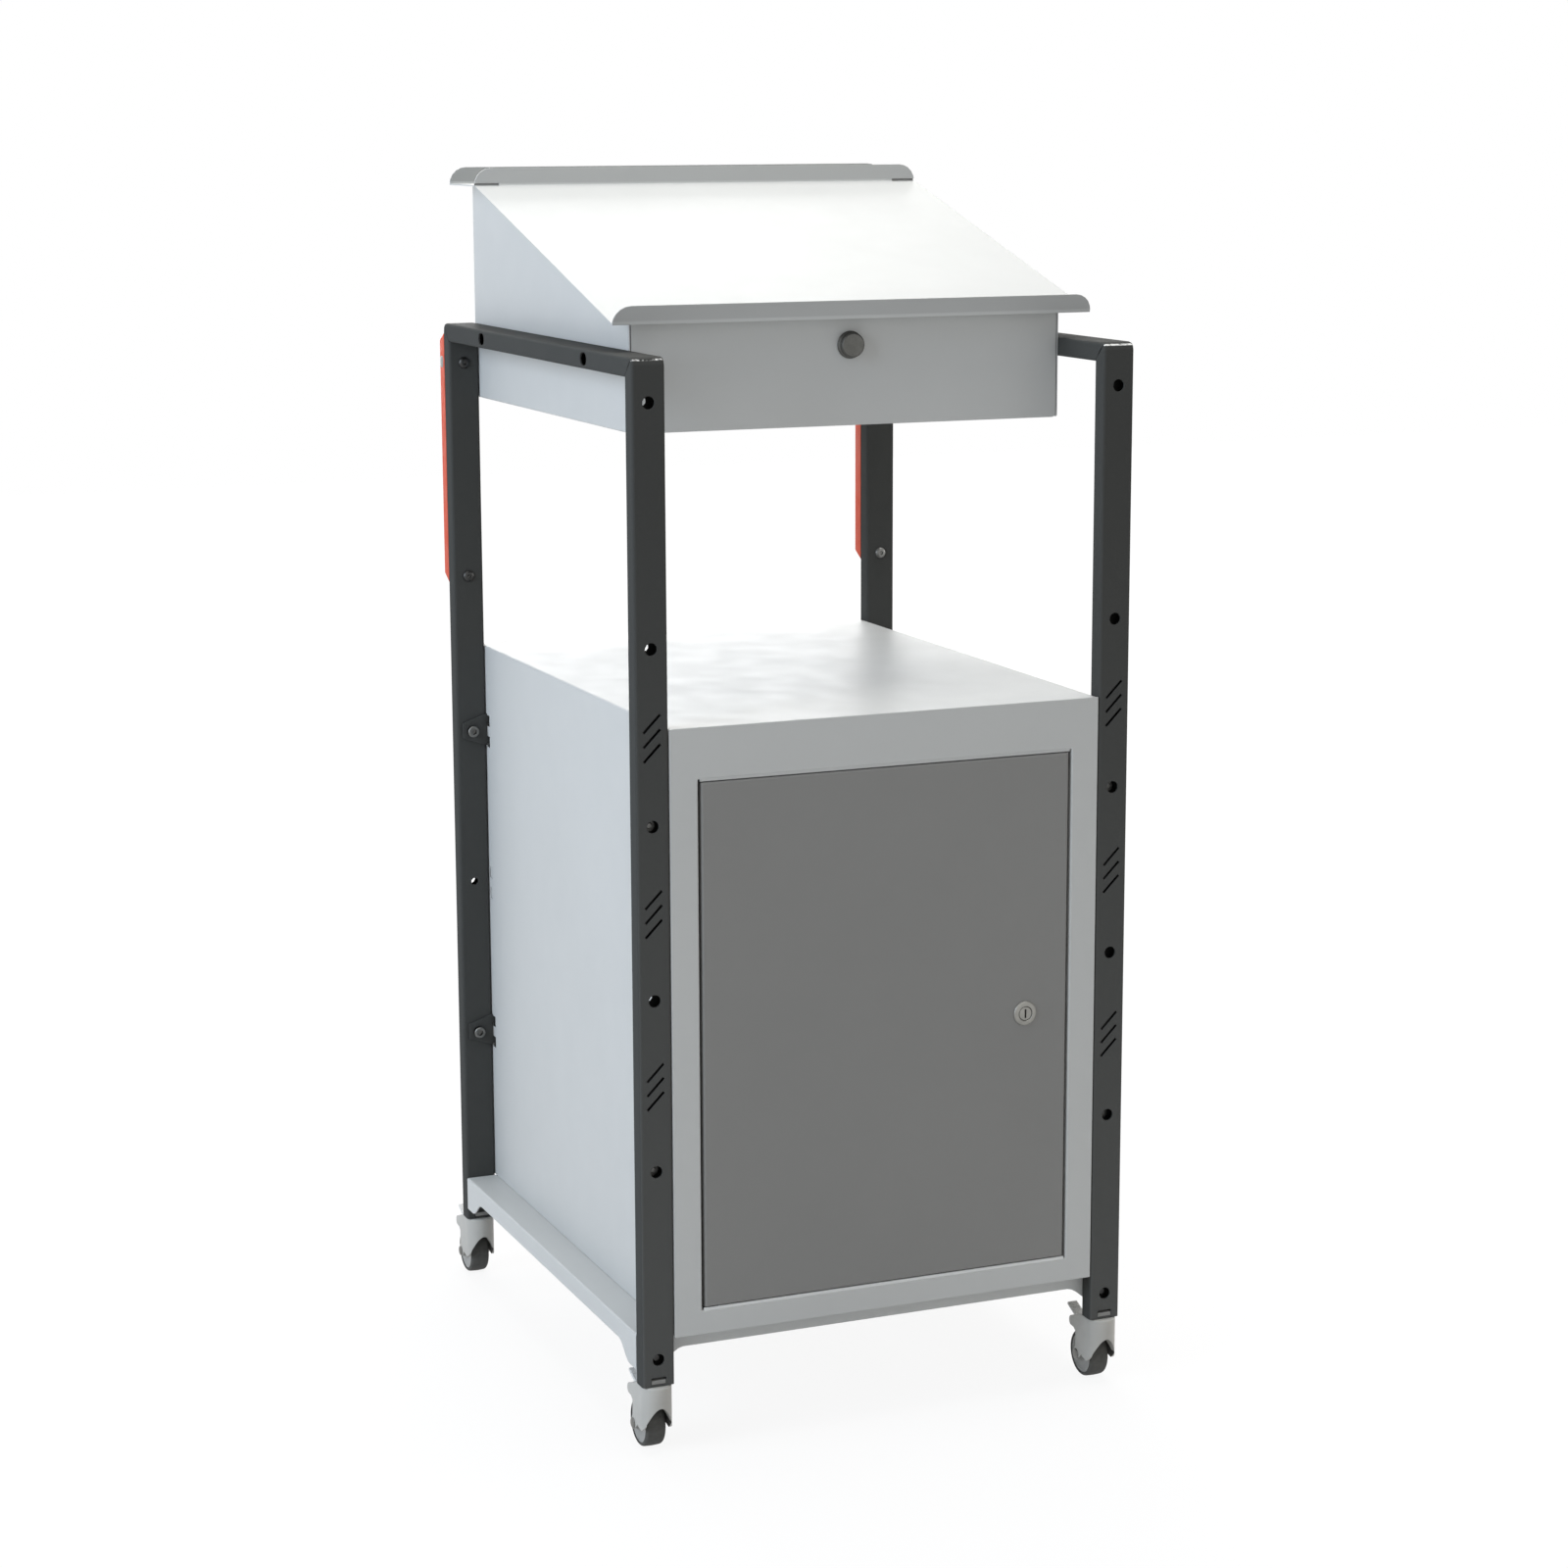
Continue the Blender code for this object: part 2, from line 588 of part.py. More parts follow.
def cabinet_shell():
    """Top and both sides folded from one sheet, with slots for the hooks and lanced tabs for the shelf."""
    outer = [(-BODY_HALF, CABINET_BOTTOM)]
    outer += arc(SHEET_FOLD - BODY_HALF, CABINET_TOP - SHEET_FOLD, SHEET_FOLD, 180, 90)
    outer += arc(BODY_HALF - SHEET_FOLD, CABINET_TOP - SHEET_FOLD, SHEET_FOLD, 90, 0)
    outer.append((BODY_HALF, CABINET_BOTTOM))
    bend = SHEET_FOLD - SHEET
    inner = [(BODY_INNER, CABINET_BOTTOM)]
    inner += arc(BODY_HALF - SHEET_FOLD, CABINET_TOP - SHEET_FOLD, bend, 0, 90)
    inner += arc(SHEET_FOLD - BODY_HALF, CABINET_TOP - SHEET_FOLD, bend, 90, 180)
    inner.append((-BODY_INNER, CABINET_BOTTOM))
    shell = prism(bmesh.new(), outer + inner, "Y", FRONT + FRONT_SHEET + SEAT, REAR)
    slots = bmesh.new()
    tabs = bmesh.new()
    for side in (-1, 1):
        low_x = min(side * (BODY_INNER - OVERCUT), side * (BODY_HALF + OVERCUT))
        high_x = low_x + SHEET + 2 * OVERCUT
        for end in (-1, 1):
            plate = end * (FRAME_DEPTH / 2 - TUBE_DEPTH - SEAT - BRACKET_SHEET / 2)
            behind = plate + end * (BRACKET_SHEET / 2 + SLOT_PLAY)
            ahead = plate - end * (BRACKET_SHEET / 2 + HOOK_SLOT_BEYOND)
            for height in hook_heights():
                for middle in (height + HOOK_SPREAD, height - HOOK_SPREAD):
                    low_z = middle - HOOK_HALF - HOOK_DROP - SLOT_PLAY
                    high_z = middle + HOOK_HALF + SLOT_PLAY
                    box(slots, (low_x, min(behind, ahead), low_z), (high_x, max(behind, ahead), high_z))
            shelf_tab(tabs, side, end)
    return carved(shell, ("DIFFERENCE", slots), ("UNION", tabs))


def shelf_span():
    """Front and rear of the shelf."""
    return FRONT + SHELF_SETBACK, REAR - SHELF_SETBACK


def shelf_tab(bm, side, end):
    """A tab bent in from the cabinet's side, under one corner of the shelf."""
    front, rear = shelf_span()
    middle = (rear - SHELF_TAB_INSET) if end > 0 else (front + SHELF_TAB_INSET)
    root = side * (BODY_INNER + SHEET / 2)
    tip = side * (BODY_INNER - SHELF_TAB_REACH)
    top = SHELF_BOTTOM - SEAT
    low = (min(root, tip), middle - SHELF_TAB_LENGTH / 2, top - SHEET)
    high = (max(root, tip), middle + SHELF_TAB_LENGTH / 2, top)
    box(bm, low, high)


def front_frame():
    """The face frame: a plate round the door with flanges turned in at the shell and at the opening."""
    sleeve = BODY_INNER - SEAT
    sleeve_top = CABINET_TOP - SHEET_FOLD - SEAT
    face, back, rim = FRONT, FRONT + FRONT_SHEET, FRONT + FRONT_RETURN
    plate = (-BODY_HALF, BODY_HALF, PLATE_BOTTOM, CABINET_TOP)
    outer = (-sleeve, sleeve, CABINET_BOTTOM, sleeve_top)
    room = sleeve - FRONT_SHEET
    inner = (-room, room, CABINET_BOTTOM + FRONT_SHEET, sleeve_top - FRONT_SHEET)
    opening = (-OPENING_HALF, OPENING_HALF, OPENING_BOTTOM, OPENING_TOP)
    grown = OPENING_HALF + FRONT_SHEET
    jamb = (-grown, grown, OPENING_BOTTOM - FRONT_SHEET, OPENING_TOP + FRONT_SHEET)
    section = [
        (plate, face), (opening, face), (opening, rim), (jamb, rim), (jamb, back),
        (inner, back), (inner, rim), (outer, rim), (outer, back), (plate, back),
    ]
    frame = skin(bmesh.new(), [rect("Y", *sizes, along) for sizes, along in section], closed=True)
    holes = bmesh.new()
    for edge in (OPENING_BOTTOM, OPENING_TOP):
        bore(holes, PIN_RADIUS + SEAT, "Z", (HINGE_X, HINGE_Y), edge - OVERCUT, edge + OVERCUT, 12)
    return carved(frame, ("DIFFERENCE", holes))


def cabinet_floor():
    """The floor pan, with its flanges turned up between the shell's sides."""
    half = BODY_INNER - SEAT
    front = FRONT + FRONT_RETURN + SEAT
    rear = REAR - PANEL_FLANGE - SEAT
    return pan("Z", -half, half, front, rear, CABINET_BOTTOM, CABINET_BOTTOM + PANEL_FLANGE, SHEET)


def cabinet_back():
    """The back panel, with its flanges turned forward inside the shell."""
    half = BODY_INNER - SEAT
    top = CABINET_TOP - SHEET_FOLD - SEAT
    return pan("Y", -half, half, CABINET_BOTTOM, top, REAR, REAR - PANEL_FLANGE, SHEET)


def cabinet_shelf():
    """The shelf, with its edges turned down."""
    half = BODY_INNER - SHELF_PLAY
    front, rear = shelf_span()
    return pan("Z", -half, half, front, rear, SHELF_BOTTOM + SHELF_FLANGE, SHELF_BOTTOM, SHEET)


# Door and lock

def door_panel():
    """The inset door, a pan open to the rear, about its pivot axis."""
    low_x, high_x = -PIVOT_INSET, 2 * DOOR_HALF - PIVOT_INSET
    face, rim = -PIVOT_DEPTH, DOOR_DEPTH - PIVOT_DEPTH
    door = pan("Y", low_x, high_x, DOOR_BOTTOM, DOOR_TOP, face, rim, SHEET)

    def on_face(start, end):
        return max(start.y, end.y) < face + SEAT

    ease(door, DOOR_EASE, on_face)
    holes = bmesh.new()
    for edge in (DOOR_BOTTOM, DOOR_TOP):
        bore(holes, PIN_RADIUS + SEAT, "Z", (0, 0), edge - OVERCUT, edge + OVERCUT, 12)
    lock = (LOCK_X - HINGE_X, LOCK_Z)
    bore(holes, BARREL_RADIUS + SEAT, "Y", lock, face - OVERCUT, face + OVERCUT, 20)
    return carved(door, ("DIFFERENCE", holes))


def pivot_pin(edge, door_edge):
    """A turned pin with a collar in the gap, from the frame's flange into the door's edge."""
    into = math.copysign(1, door_edge - edge)
    profile = [
        (PIN_RADIUS, edge - into * PIN_GRIP),
        (PIN_RADIUS, edge + into * SEAT),
        (PIN_COLLAR, edge + into * SEAT),
        (PIN_COLLAR, door_edge - into * SEAT),
        (PIN_RADIUS, door_edge - into * SEAT),
        (PIN_RADIUS, door_edge + into * PIN_GRIP),
    ]
    return lathe(bmesh.new(), profile, "Z", (HINGE_X, HINGE_Y), 12)


def lock_body():
    """The lock's barrel and bezel, about the lock's axis at the door's face."""
    bore = PLUG_RADIUS + SEAT
    face = -SEAT
    front = face - BEZEL_HEIGHT
    back = CAM_Y - FRONT - SEAT
    profile = [
        (bore, front), (BEZEL_RADIUS - BEZEL_HEIGHT / 2, front), (BEZEL_RADIUS, front + BEZEL_HEIGHT / 2),
        (BEZEL_RADIUS, face), (BARREL_RADIUS, face), (BARREL_RADIUS, back), (bore, back),
    ]
    return lathe(bmesh.new(), profile, "Y", (0, 0), 20, closed=True)


def lock_plug():
    """The turning plug with its key slot, and the tail that carries the cam."""
    front = -SEAT - BEZEL_HEIGHT
    back = CAM_Y - FRONT - SEAT
    end = back + SEAT + CAM_SHEET + SEAT
    profile = [(PLUG_RADIUS, front), (PLUG_RADIUS, back), (TAIL_RADIUS, back), (TAIL_RADIUS, end)]
    plug = lathe(bmesh.new(), profile, "Y", (0, 0), 20)
    half_x, half_z = KEY_SLOT_WIDTH / 2, KEY_SLOT_LENGTH / 2
    slot = box(bmesh.new(), (-half_x, front - OVERCUT, -half_z), (half_x, front + KEY_SLOT_DEPTH, half_z))
    return carved(plug, ("DIFFERENCE", slot))


def lock_cam():
    """The locking arm on the plug's tail, pointing up where the door is free."""
    half = CAM_WIDTH / 2
    tip = half / 2
    outline = arc(0, 0, half, 180, 360, 8)
    outline += arc(half - tip, CAM_REACH - tip, tip, 0, 90)
    outline += arc(tip - half, CAM_REACH - tip, tip, 90, 180)
    low = CAM_Y - FRONT
    arm = prism(bmesh.new(), outline, "Y", low, low + CAM_SHEET)
    hole = bore(bmesh.new(), TAIL_RADIUS + SEAT, "Y", (0, 0), low - OVERCUT, low + CAM_SHEET + OVERCUT, 16)
    return carved(arm, ("DIFFERENCE", hole))


# Desk box, top and pen tray

def slope_under(y):
    """Height of the writing top's underside."""
    return TOP_FRONT_Z + SLOPE * (y - LIP_FRONT)


def lip_drop(x):
    """How far a lip's top edge lies below its full height, near its rounded ends."""
    over = max(0, abs(x) - (TOP_HALF - LIP_RADIUS))
    drop = LIP_RADIUS - math.sqrt(max(0, LIP_RADIUS * LIP_RADIUS - over * over))
    return min(drop, LIP_HEIGHT - LIP_TIP)


def lip_stations():
    """Places across the top where its section is drawn, close together round the lips' ends."""
    right = [x for x, _ in arc(TOP_HALF - LIP_RADIUS, 0, LIP_RADIUS, 90, 0, 5)]
    return [-x for x in reversed(right)] + right


def offset(start, direction, distance):
    """The point of a section that lies a distance away from another."""
    return (start[0] + distance * direction[0], start[1] + distance * direction[1])


def inside_fold(corner, before, after):
    """A small round at the inside of a fold, from the side before its corner to the side after it."""
    half = math.acos(before[0] * after[0] + before[1] * after[1]) / 2
    reach = LIP_FOLD / math.tan(half)
    middle = (LIP_FOLD / math.sin(half) - LIP_FOLD) / (2 * math.cos(half))
    steps = ((reach, 0), (middle, middle), (0, reach))
    return [offset(offset(corner, before, a), after, b) for a, b in steps]


def relief_slots():
    """What is cut out of the rear fold over each side overhang, so that the lip could be turned up."""
    slots = bmesh.new()
    low_z, high_z = TOP_REAR_Z - OVERCUT, TOP_REAR_Z + TOP_SHEET + LIP_SLOT_WIDTH
    for side in (-1, 1):
        ends = sorted((side * (TOP_HALF - LIP_SLOT_LENGTH), side * (TOP_HALF + OVERCUT)))
        low = (ends[0], LIP_NEAR - LIP_SLOT_WIDTH, low_z)
        box(slots, low, (ends[1], LIP_NEAR + TOP_SHEET + OVERCUT, high_z))
    return slots


def desk_top():
    """The sloped writing sheet, with a lip square to it at its front and an upright one at its rear."""
    run = 1 / math.sqrt(1 + SLOPE * SLOPE)
    thick = TOP_SHEET / run
    up, uphill, downhill = (0, 1), (run, run * SLOPE), (-run, -run * SLOPE)
    square = (-run * SLOPE, run)
    front_outer = (LIP_FRONT, TOP_FRONT_Z)
    front_inner = offset(front_outer, uphill, TOP_SHEET)
    front_fold = inside_fold(offset(front_inner, square, TOP_SHEET), uphill, square)
    rear_fold = inside_fold((LIP_NEAR, slope_under(LIP_NEAR) + thick), up, downhill)
    loops = []
    for x in lip_stations():
        lip = LIP_HEIGHT - lip_drop(x)
        rear_lip = TOP_REAR_Z + lip
        section = [
            front_outer,
            (LIP_NEAR + TOP_SHEET, TOP_REAR_Z),
            (LIP_NEAR + TOP_SHEET, rear_lip),
            (LIP_NEAR, rear_lip),
            *rear_fold,
            *front_fold,
            offset(front_inner, square, lip),
            offset(front_outer, square, lip),
        ]
        loops.append([place("X", y, z, x) for y, z in section])
    return carved(skin(bmesh.new(), loops), ("DIFFERENCE", relief_slots()))


def pen_tray():
    """The level strip behind the writing sheet, with a lip turned up at the far edge."""
    start = LIP_NEAR + TOP_SHEET + SEAT
    loops = []
    for x in lip_stations():
        lip = TOP_REAR_Z + LIP_HEIGHT - lip_drop(x)
        section = [
            (start, TOP_REAR_Z), (LIP_FAR, TOP_REAR_Z), (LIP_FAR, lip), (LIP_FAR - TOP_SHEET, lip),
            (LIP_FAR - TOP_SHEET, TOP_REAR_Z + TOP_SHEET), (start, TOP_REAR_Z + TOP_SHEET),
        ]
        loops.append([place("X", y, z, x) for y, z in section])
    return skin(bmesh.new(), loops)


def desk_body():
    """Floor and both sides of the desk box folded from one sheet, trimmed to the top's slope."""
    high = TOP_REAR_Z + OVERCUT
    outer = [(BODY_HALF, high)]
    outer += arc(BODY_HALF - SHEET_FOLD, DESK_BOTTOM + SHEET_FOLD, SHEET_FOLD, 360, 270)
    outer += arc(SHEET_FOLD - BODY_HALF, DESK_BOTTOM + SHEET_FOLD, SHEET_FOLD, 270, 180)
    outer.append((-BODY_HALF, high))
    bend = SHEET_FOLD - SHEET
    inner = [(-BODY_INNER, high)]
    inner += arc(SHEET_FOLD - BODY_HALF, DESK_BOTTOM + SHEET_FOLD, bend, 180, 270)
    inner += arc(BODY_HALF - SHEET_FOLD, DESK_BOTTOM + SHEET_FOLD, bend, 270, 360)
    inner.append((BODY_INNER, high))
    body = prism(bmesh.new(), outer + inner, "Y", DESK_FRONT, DESK_REAR)
    start = DESK_FRONT - OVERCUT
    end = DESK_REAR + OVERCUT
    above = [
        (start, slope_under(start) - SEAT), (LIP_NEAR + TOP_SHEET, TOP_REAR_Z - SEAT),
        (end, TOP_REAR_Z - SEAT), (end, high + OVERCUT), (start, high + OVERCUT),
    ]
    trim = prism(bmesh.new(), above, "X", -BODY_HALF - OVERCUT, BODY_HALF + OVERCUT)
    notch_rear = DESK_FRONT + DRAWER_FRONT_DEPTH + SEAT
    low = (-BODY_INNER, start, DESK_BOTTOM - OVERCUT)
    notch = box(bmesh.new(), low, (BODY_INNER, notch_rear, DESK_BOTTOM + SHEET_FOLD + OVERCUT))
    return carved(body, ("DIFFERENCE", trim), ("DIFFERENCE", notch))


def desk_back():
    """The desk box's rear panel, with its flanges turned forward."""
    half = BODY_INNER - SEAT
    low = DESK_BOTTOM + SHEET_FOLD + SEAT
    return pan("Y", -half, half, low, TOP_REAR_Z - 2 * SEAT, DESK_REAR, DESK_REAR - DESK_FLANGE, SHEET)


# Drawer, drawn about its slide's empty at the middle of its front face

def drawer_runner(side):
    """A channel on the desk box's side wall that carries one flange of the drawer."""
    wall = BODY_INNER - SEAT
    edge = wall - RUNNER_WIDTH
    low, high = RUNNER_BOTTOM, RUNNER_BOTTOM + RUNNER_HEIGHT
    outline = [
        (wall, low), (wall, high), (edge, high), (edge, high - RUNNER_SHEET),
        (wall - RUNNER_SHEET, high - RUNNER_SHEET), (wall - RUNNER_SHEET, low + RUNNER_SHEET),
        (edge, low + RUNNER_SHEET), (edge, low),
    ]
    placed = [(side * x, z) for x, z in outline]
    return prism(bmesh.new(), placed, "Y", RUNNER_FRONT, RUNNER_REAR)


def drawer_front():
    """The drawer's face, a shallow pan with softened lower corners."""
    half = BODY_INNER - DRAWER_GAP
    high = FRONT_RISE - DRAWER_GAP
    face = pan("Y", -half, half, 0, high, 0, DRAWER_FRONT_DEPTH, SHEET)

    def lower_corner(start, end):
        at_side = min(abs(start.x), abs(end.x)) > half - SEAT
        return at_side and max(start.z, end.z) < SEAT and abs(start.y - end.y) > SEAT

    return ease(face, DRAWER_CORNER, lower_corner, 4)


def drawer_tray():
    """The drawer's box, with a flange along each side that rides in a runner."""
    flange_low = RUNNER_RISE + RUNNER_SHEET + SEAT
    flange_high = flange_low + SHEET
    wall = BODY_INNER - SEAT - RUNNER_WIDTH - DRAWER_GAP
    front = DRAWER_FRONT_DEPTH + SEAT
    rear = DESK_REAR - DESK_FLANGE - DRAWER_REAR_GAP - DESK_FRONT
    tray = pan("Z", -wall, wall, front, rear, SHEET + DRAWER_FLOOR_RISE, flange_high, SHEET)
    flanges = bmesh.new()
    for side in (-1, 1):
        root = side * (wall - SHEET / 2)
        tip = side * (BODY_INNER - SEAT - RUNNER_SHEET - DRAWER_GAP)
        low = (min(root, tip), front + OVERCUT, flange_low)
        box(flanges, low, (max(root, tip), rear, flange_high))
    return carved(tray, ("UNION", flanges))


def drawer_knob():
    """The turned pull knob in the middle of the drawer's face."""
    height = FRONT_RISE - KNOB_DROP
    tip = -SEAT - KNOB_DEPTH
    profile = [
        (KNOB_RADIUS, -SEAT), (KNOB_RADIUS, -SEAT - KNOB_DEPTH / 5), (KNOB_WAIST, -SEAT - KNOB_DEPTH / 3),
        (KNOB_WAIST, -SEAT - KNOB_DEPTH / 2), (KNOB_RADIUS, tip + KNOB_DEPTH / 4), (KNOB_FACE, tip),
    ]
    return lathe(bmesh.new(), profile, "Y", (0, height), 24)


# Casters

def caster_plug():
    """The plug that snaps into an upright's open end, with the swivel stem below it."""
    half_x = TUBE_WIDTH / 2 - TUBE_WALL - SEAT
    half_y = TUBE_DEPTH / 2 - TUBE_WALL - SEAT
    neck_x, neck_y = half_x - PLUG_STEP, half_y - PLUG_STEP
    tab_x = WINDOW_WIDTH / 2 - SEAT
    tab_y = TUBE_DEPTH / 2 - SEAT
    tab_low = FOOT_HEIGHT + WINDOW_RISE + SEAT
    tab_high = tab_low + PLUG_TAB
    step = tab_high + SEAT
    block = skin(bmesh.new(), [
        rect("Z", -half_x, half_x, -half_y, half_y, FOOT_HEIGHT),
        rect("Z", -half_x, half_x, -half_y, half_y, step),
        rect("Z", -neck_x, neck_x, -neck_y, neck_y, step),
        rect("Z", -neck_x, neck_x, -neck_y, neck_y, FOOT_HEIGHT + PLUG_LENGTH),
    ])
    tabs = box(bmesh.new(), (-tab_x, -tab_y, tab_low), (tab_x, tab_y, tab_high))
    profile = [(STEM_RADIUS, FOOT_HEIGHT - STEM_LENGTH), (STEM_RADIUS, FOOT_HEIGHT + STEM_RADIUS)]
    stem = lathe(bmesh.new(), profile, "Z", (0, 0), 12)
    return carved(block, ("UNION", tabs), ("UNION", stem))


def fork_outline():
    """The fork seen from the side: swivel head in front, hood over the wheel, cheeks down to the axle."""
    top = FOOT_HEIGHT - FORK_GAP
    front = (-FORK_RADIUS, FOOT_HEIGHT - FRONT_EDGE_DROP)
    tip = (-CHEEK_TIP_AHEAD, FOOT_HEIGHT - CHEEK_TIP_DROP)
    sag = ((front[0] + tip[0]) / 2 - FRONT_EDGE_SAG, (front[1] + tip[1]) / 2 - FRONT_EDGE_SAG)
    pivot = (PEDAL_PIVOT_REAR, PEDAL_PIVOT_HEIGHT)
    return [
        (-FORK_RADIUS, top), (TRAIL / 2, top), *arc(*pivot, EAR_RADIUS, 75, -60),
        (pivot[0] - EAR_NOTCH, pivot[1] - EAR_RADIUS), (CHEEK_REAR, pivot[1] - 1.5 * EAR_RADIUS),
        (CHEEK_REAR, AXLE_HEIGHT + 1.5 * AXLE_BOSS), *arc(TRAIL, AXLE_HEIGHT, AXLE_BOSS, 50, -150, 6),
        (CHEEK_NOTCH_REAR, FOOT_HEIGHT - CHEEK_NOTCH_DROP), tip, sag, front,
    ]


def caster_fork():
    """The moulded fork, hollowed for the wheel, the stem, the axle and the brake lever."""
    fork = prism(bmesh.new(), fork_outline(), "X", -FORK_RADIUS, FORK_RADIUS)
    plan = arc(0, 0, FORK_RADIUS, 180, 360, 10)
    plan += [(FORK_RADIUS, PEDAL_REACH), (-FORK_RADIUS, PEDAL_REACH)]
    round_front = prism(bmesh.new(), plan, "Z", 0, FOOT_HEIGHT)
    room = FORK_RADIUS - CHEEK
    arch = [(-room, -OVERCUT), (room, -OVERCUT)]
    for step in range(9):
        share = 1 - step / 4
        arch.append((room * share, FOOT_HEIGHT - ARCH_DROP - ARCH_FALL * share * share))
    front_arch = prism(bmesh.new(), arch, "Y", -FORK_RADIUS - OVERCUT, TRAIL)
    axle = (TRAIL, AXLE_HEIGHT)
    wheel = bore(bmesh.new(), WHEEL_RADIUS + WHEEL_PLAY, "X", axle, -room, room, WHEEL_FACETS)
    socket_floor = FOOT_HEIGHT - STEM_LENGTH - SEAT
    bores = bore(bmesh.new(), STEM_RADIUS + SEAT, "Z", (0, 0), socket_floor, FOOT_HEIGHT + OVERCUT, 12)
    wide = FORK_RADIUS + OVERCUT
    bore(bores, AXLE_RADIUS + SEAT, "X", axle, -wide, wide, 12)
    pivot = (PEDAL_PIVOT_REAR, PEDAL_PIVOT_HEIGHT)
    pin_hole = bore(bmesh.new(), PEDAL_PIN + SEAT, "X", pivot, -wide, wide, 8)
    half = PEDAL_WIDTH / 2 + PEDAL_PLAY
    slot_front = PEDAL_PIVOT_REAR - 2 * PEDAL_HEEL
    slot = box(bmesh.new(), (-half, slot_front, AXLE_HEIGHT), (half, PEDAL_REACH, FOOT_HEIGHT + OVERCUT))
    return carved(fork, ("INTERSECT", round_front), ("DIFFERENCE", front_arch), ("DIFFERENCE", wheel),
                  ("DIFFERENCE", bores), ("DIFFERENCE", slot), ("DIFFERENCE", pin_hole))


def caster_axle():
    """The axle pin through the cheeks, with a head at each end, about the wheel's axis."""
    cheek = FORK_RADIUS + SEAT
    end = cheek + AXLE_HEAD_HEIGHT
    profile = [
        (AXLE_HEAD, -end), (AXLE_HEAD, -cheek), (AXLE_RADIUS, -cheek),
        (AXLE_RADIUS, cheek), (AXLE_HEAD, cheek), (AXLE_HEAD, end),
    ]
    return lathe(bmesh.new(), profile, "X", (0, 0), 12)


def caster_hub():
    """The wheel's hub: a bored boss, a thinner web and a rim for the tyre."""
    hole = AXLE_RADIUS + SEAT
    boss = hole + HUB_BOSS
    rim = WHEEL_RADIUS - TYRE_BAND - SEAT
    bed = rim - HUB_RIM
    boss_half = FORK_RADIUS - CHEEK - SEAT
    web_half = WHEEL_WIDTH / 4
    rim_half = WHEEL_WIDTH / 2 - HUB_DRAFT
    right = [(hole, boss_half), (boss, boss_half), (boss + HUB_DRAFT, web_half), (bed - HUB_DRAFT, web_half),
             (bed, rim_half), (rim, rim_half)]
    left = [(radius, -along) for radius, along in reversed(right)]
    return lathe(bmesh.new(), right + left, "X", (0, 0), 14, closed=True)


def caster_tyre():
    """The tyre, with rounded shoulders."""
    inner = WHEEL_RADIUS - TYRE_BAND
    half = WHEEL_WIDTH / 2
    center = (half - TYRE_SHOULDER, WHEEL_RADIUS - TYRE_SHOULDER)
    right = [(inner, half - TYRE_INSET)]
    right += [(b, a) for a, b in arc(*center, TYRE_SHOULDER, 0, 90, 3)]
    left = [(radius, -along) for radius, along in reversed(right)]
    return lathe(bmesh.new(), right + left, "X", (0, 0), WHEEL_FACETS, closed=True)


def caster_pedal():
    """The brake lever with its shoe and cross pin, about its pivot."""
    reach = PEDAL_REACH - PEDAL_PIVOT_REAR
    outline = [
        (-PEDAL_HEEL, PEDAL_UPPER), (-PEDAL_HEEL, -PEDAL_LOWER), (SHOE_REACH / 2, -1.5 * PEDAL_LOWER),
        (SHOE_REACH, -SHOE_DROP), (SHOE_REACH + SHOE_LENGTH, SHOE_SLANT - SHOE_DROP),
        (PEDAL_BEND, -PEDAL_LOWER / 2), (reach, PEDAL_TIP - PEDAL_SHEET), (reach - PEDAL_SLANT, PEDAL_TIP),
        (PEDAL_BEND - PEDAL_SLANT, PEDAL_UPPER),
    ]
    lever = prism(bmesh.new(), outline, "X", -PEDAL_WIDTH / 2, PEDAL_WIDTH / 2)
    half = FORK_RADIUS - CHEEK / 2
    pin = bore(bmesh.new(), PEDAL_PIN, "X", (0, 0), -half, half, 8)
    return carved(lever, ("UNION", pin))


# Assembly

def build_frame(root, finishes):
    """Side frames, base tray, hook brackets and grips."""
    heights = hook_heights()
    for side, side_name in ((-1, "left"), (1, "right")):
        add_piece(f"side_frame_{side_name}", side_frame(side), finishes["frame"], root)
        add_piece(f"rear_grip_{side_name}", rear_grip(side), finishes["grip"], root)
        for end, end_name in ((-1, "front"), (1, "rear")):
            for height, level in ((heights[0], "upper"), (heights[2], "lower")):
                name = f"hook_bracket_{end_name}_{side_name}_{level}"
                add_piece(name, hook_bracket(side, end, height), finishes["frame"], root)
    add_piece("base_tray", base_tray(), finishes["body"], root)


def build_cabinet(root, finishes):
    """Cabinet body, door on its pivot pins, and the lock in the door."""
    add_piece("cabinet_shell", cabinet_shell(), finishes["body"], root)
    add_piece("cabinet_front_frame", front_frame(), finishes["body"], root)
    add_piece("cabinet_floor", cabinet_floor(), finishes["body"], root)
    add_piece("cabinet_back", cabinet_back(), finishes["body"], root)
    add_piece("cabinet_shelf", cabinet_shelf(), finishes["body"], root)
    add_piece("door_pin_top", pivot_pin(OPENING_TOP, DOOR_TOP), finishes["steel"], root)
    add_piece("door_pin_bottom", pivot_pin(OPENING_BOTTOM, DOOR_BOTTOM), finishes["steel"], root)
    hinge = add_empty("door_hinge", root, (HINGE_X, HINGE_Y, 0))
    add_piece("door_panel", door_panel(), finishes["door"], hinge)
    lock = add_empty("lock_axis", hinge, (LOCK_X - HINGE_X, FRONT - HINGE_Y, LOCK_Z))
    add_piece("lock_body", lock_body(), finishes["chrome"], lock)
    add_piece("lock_plug", lock_plug(), finishes["chrome"], lock)
    add_piece("lock_cam", lock_cam(), finishes["steel"], lock)


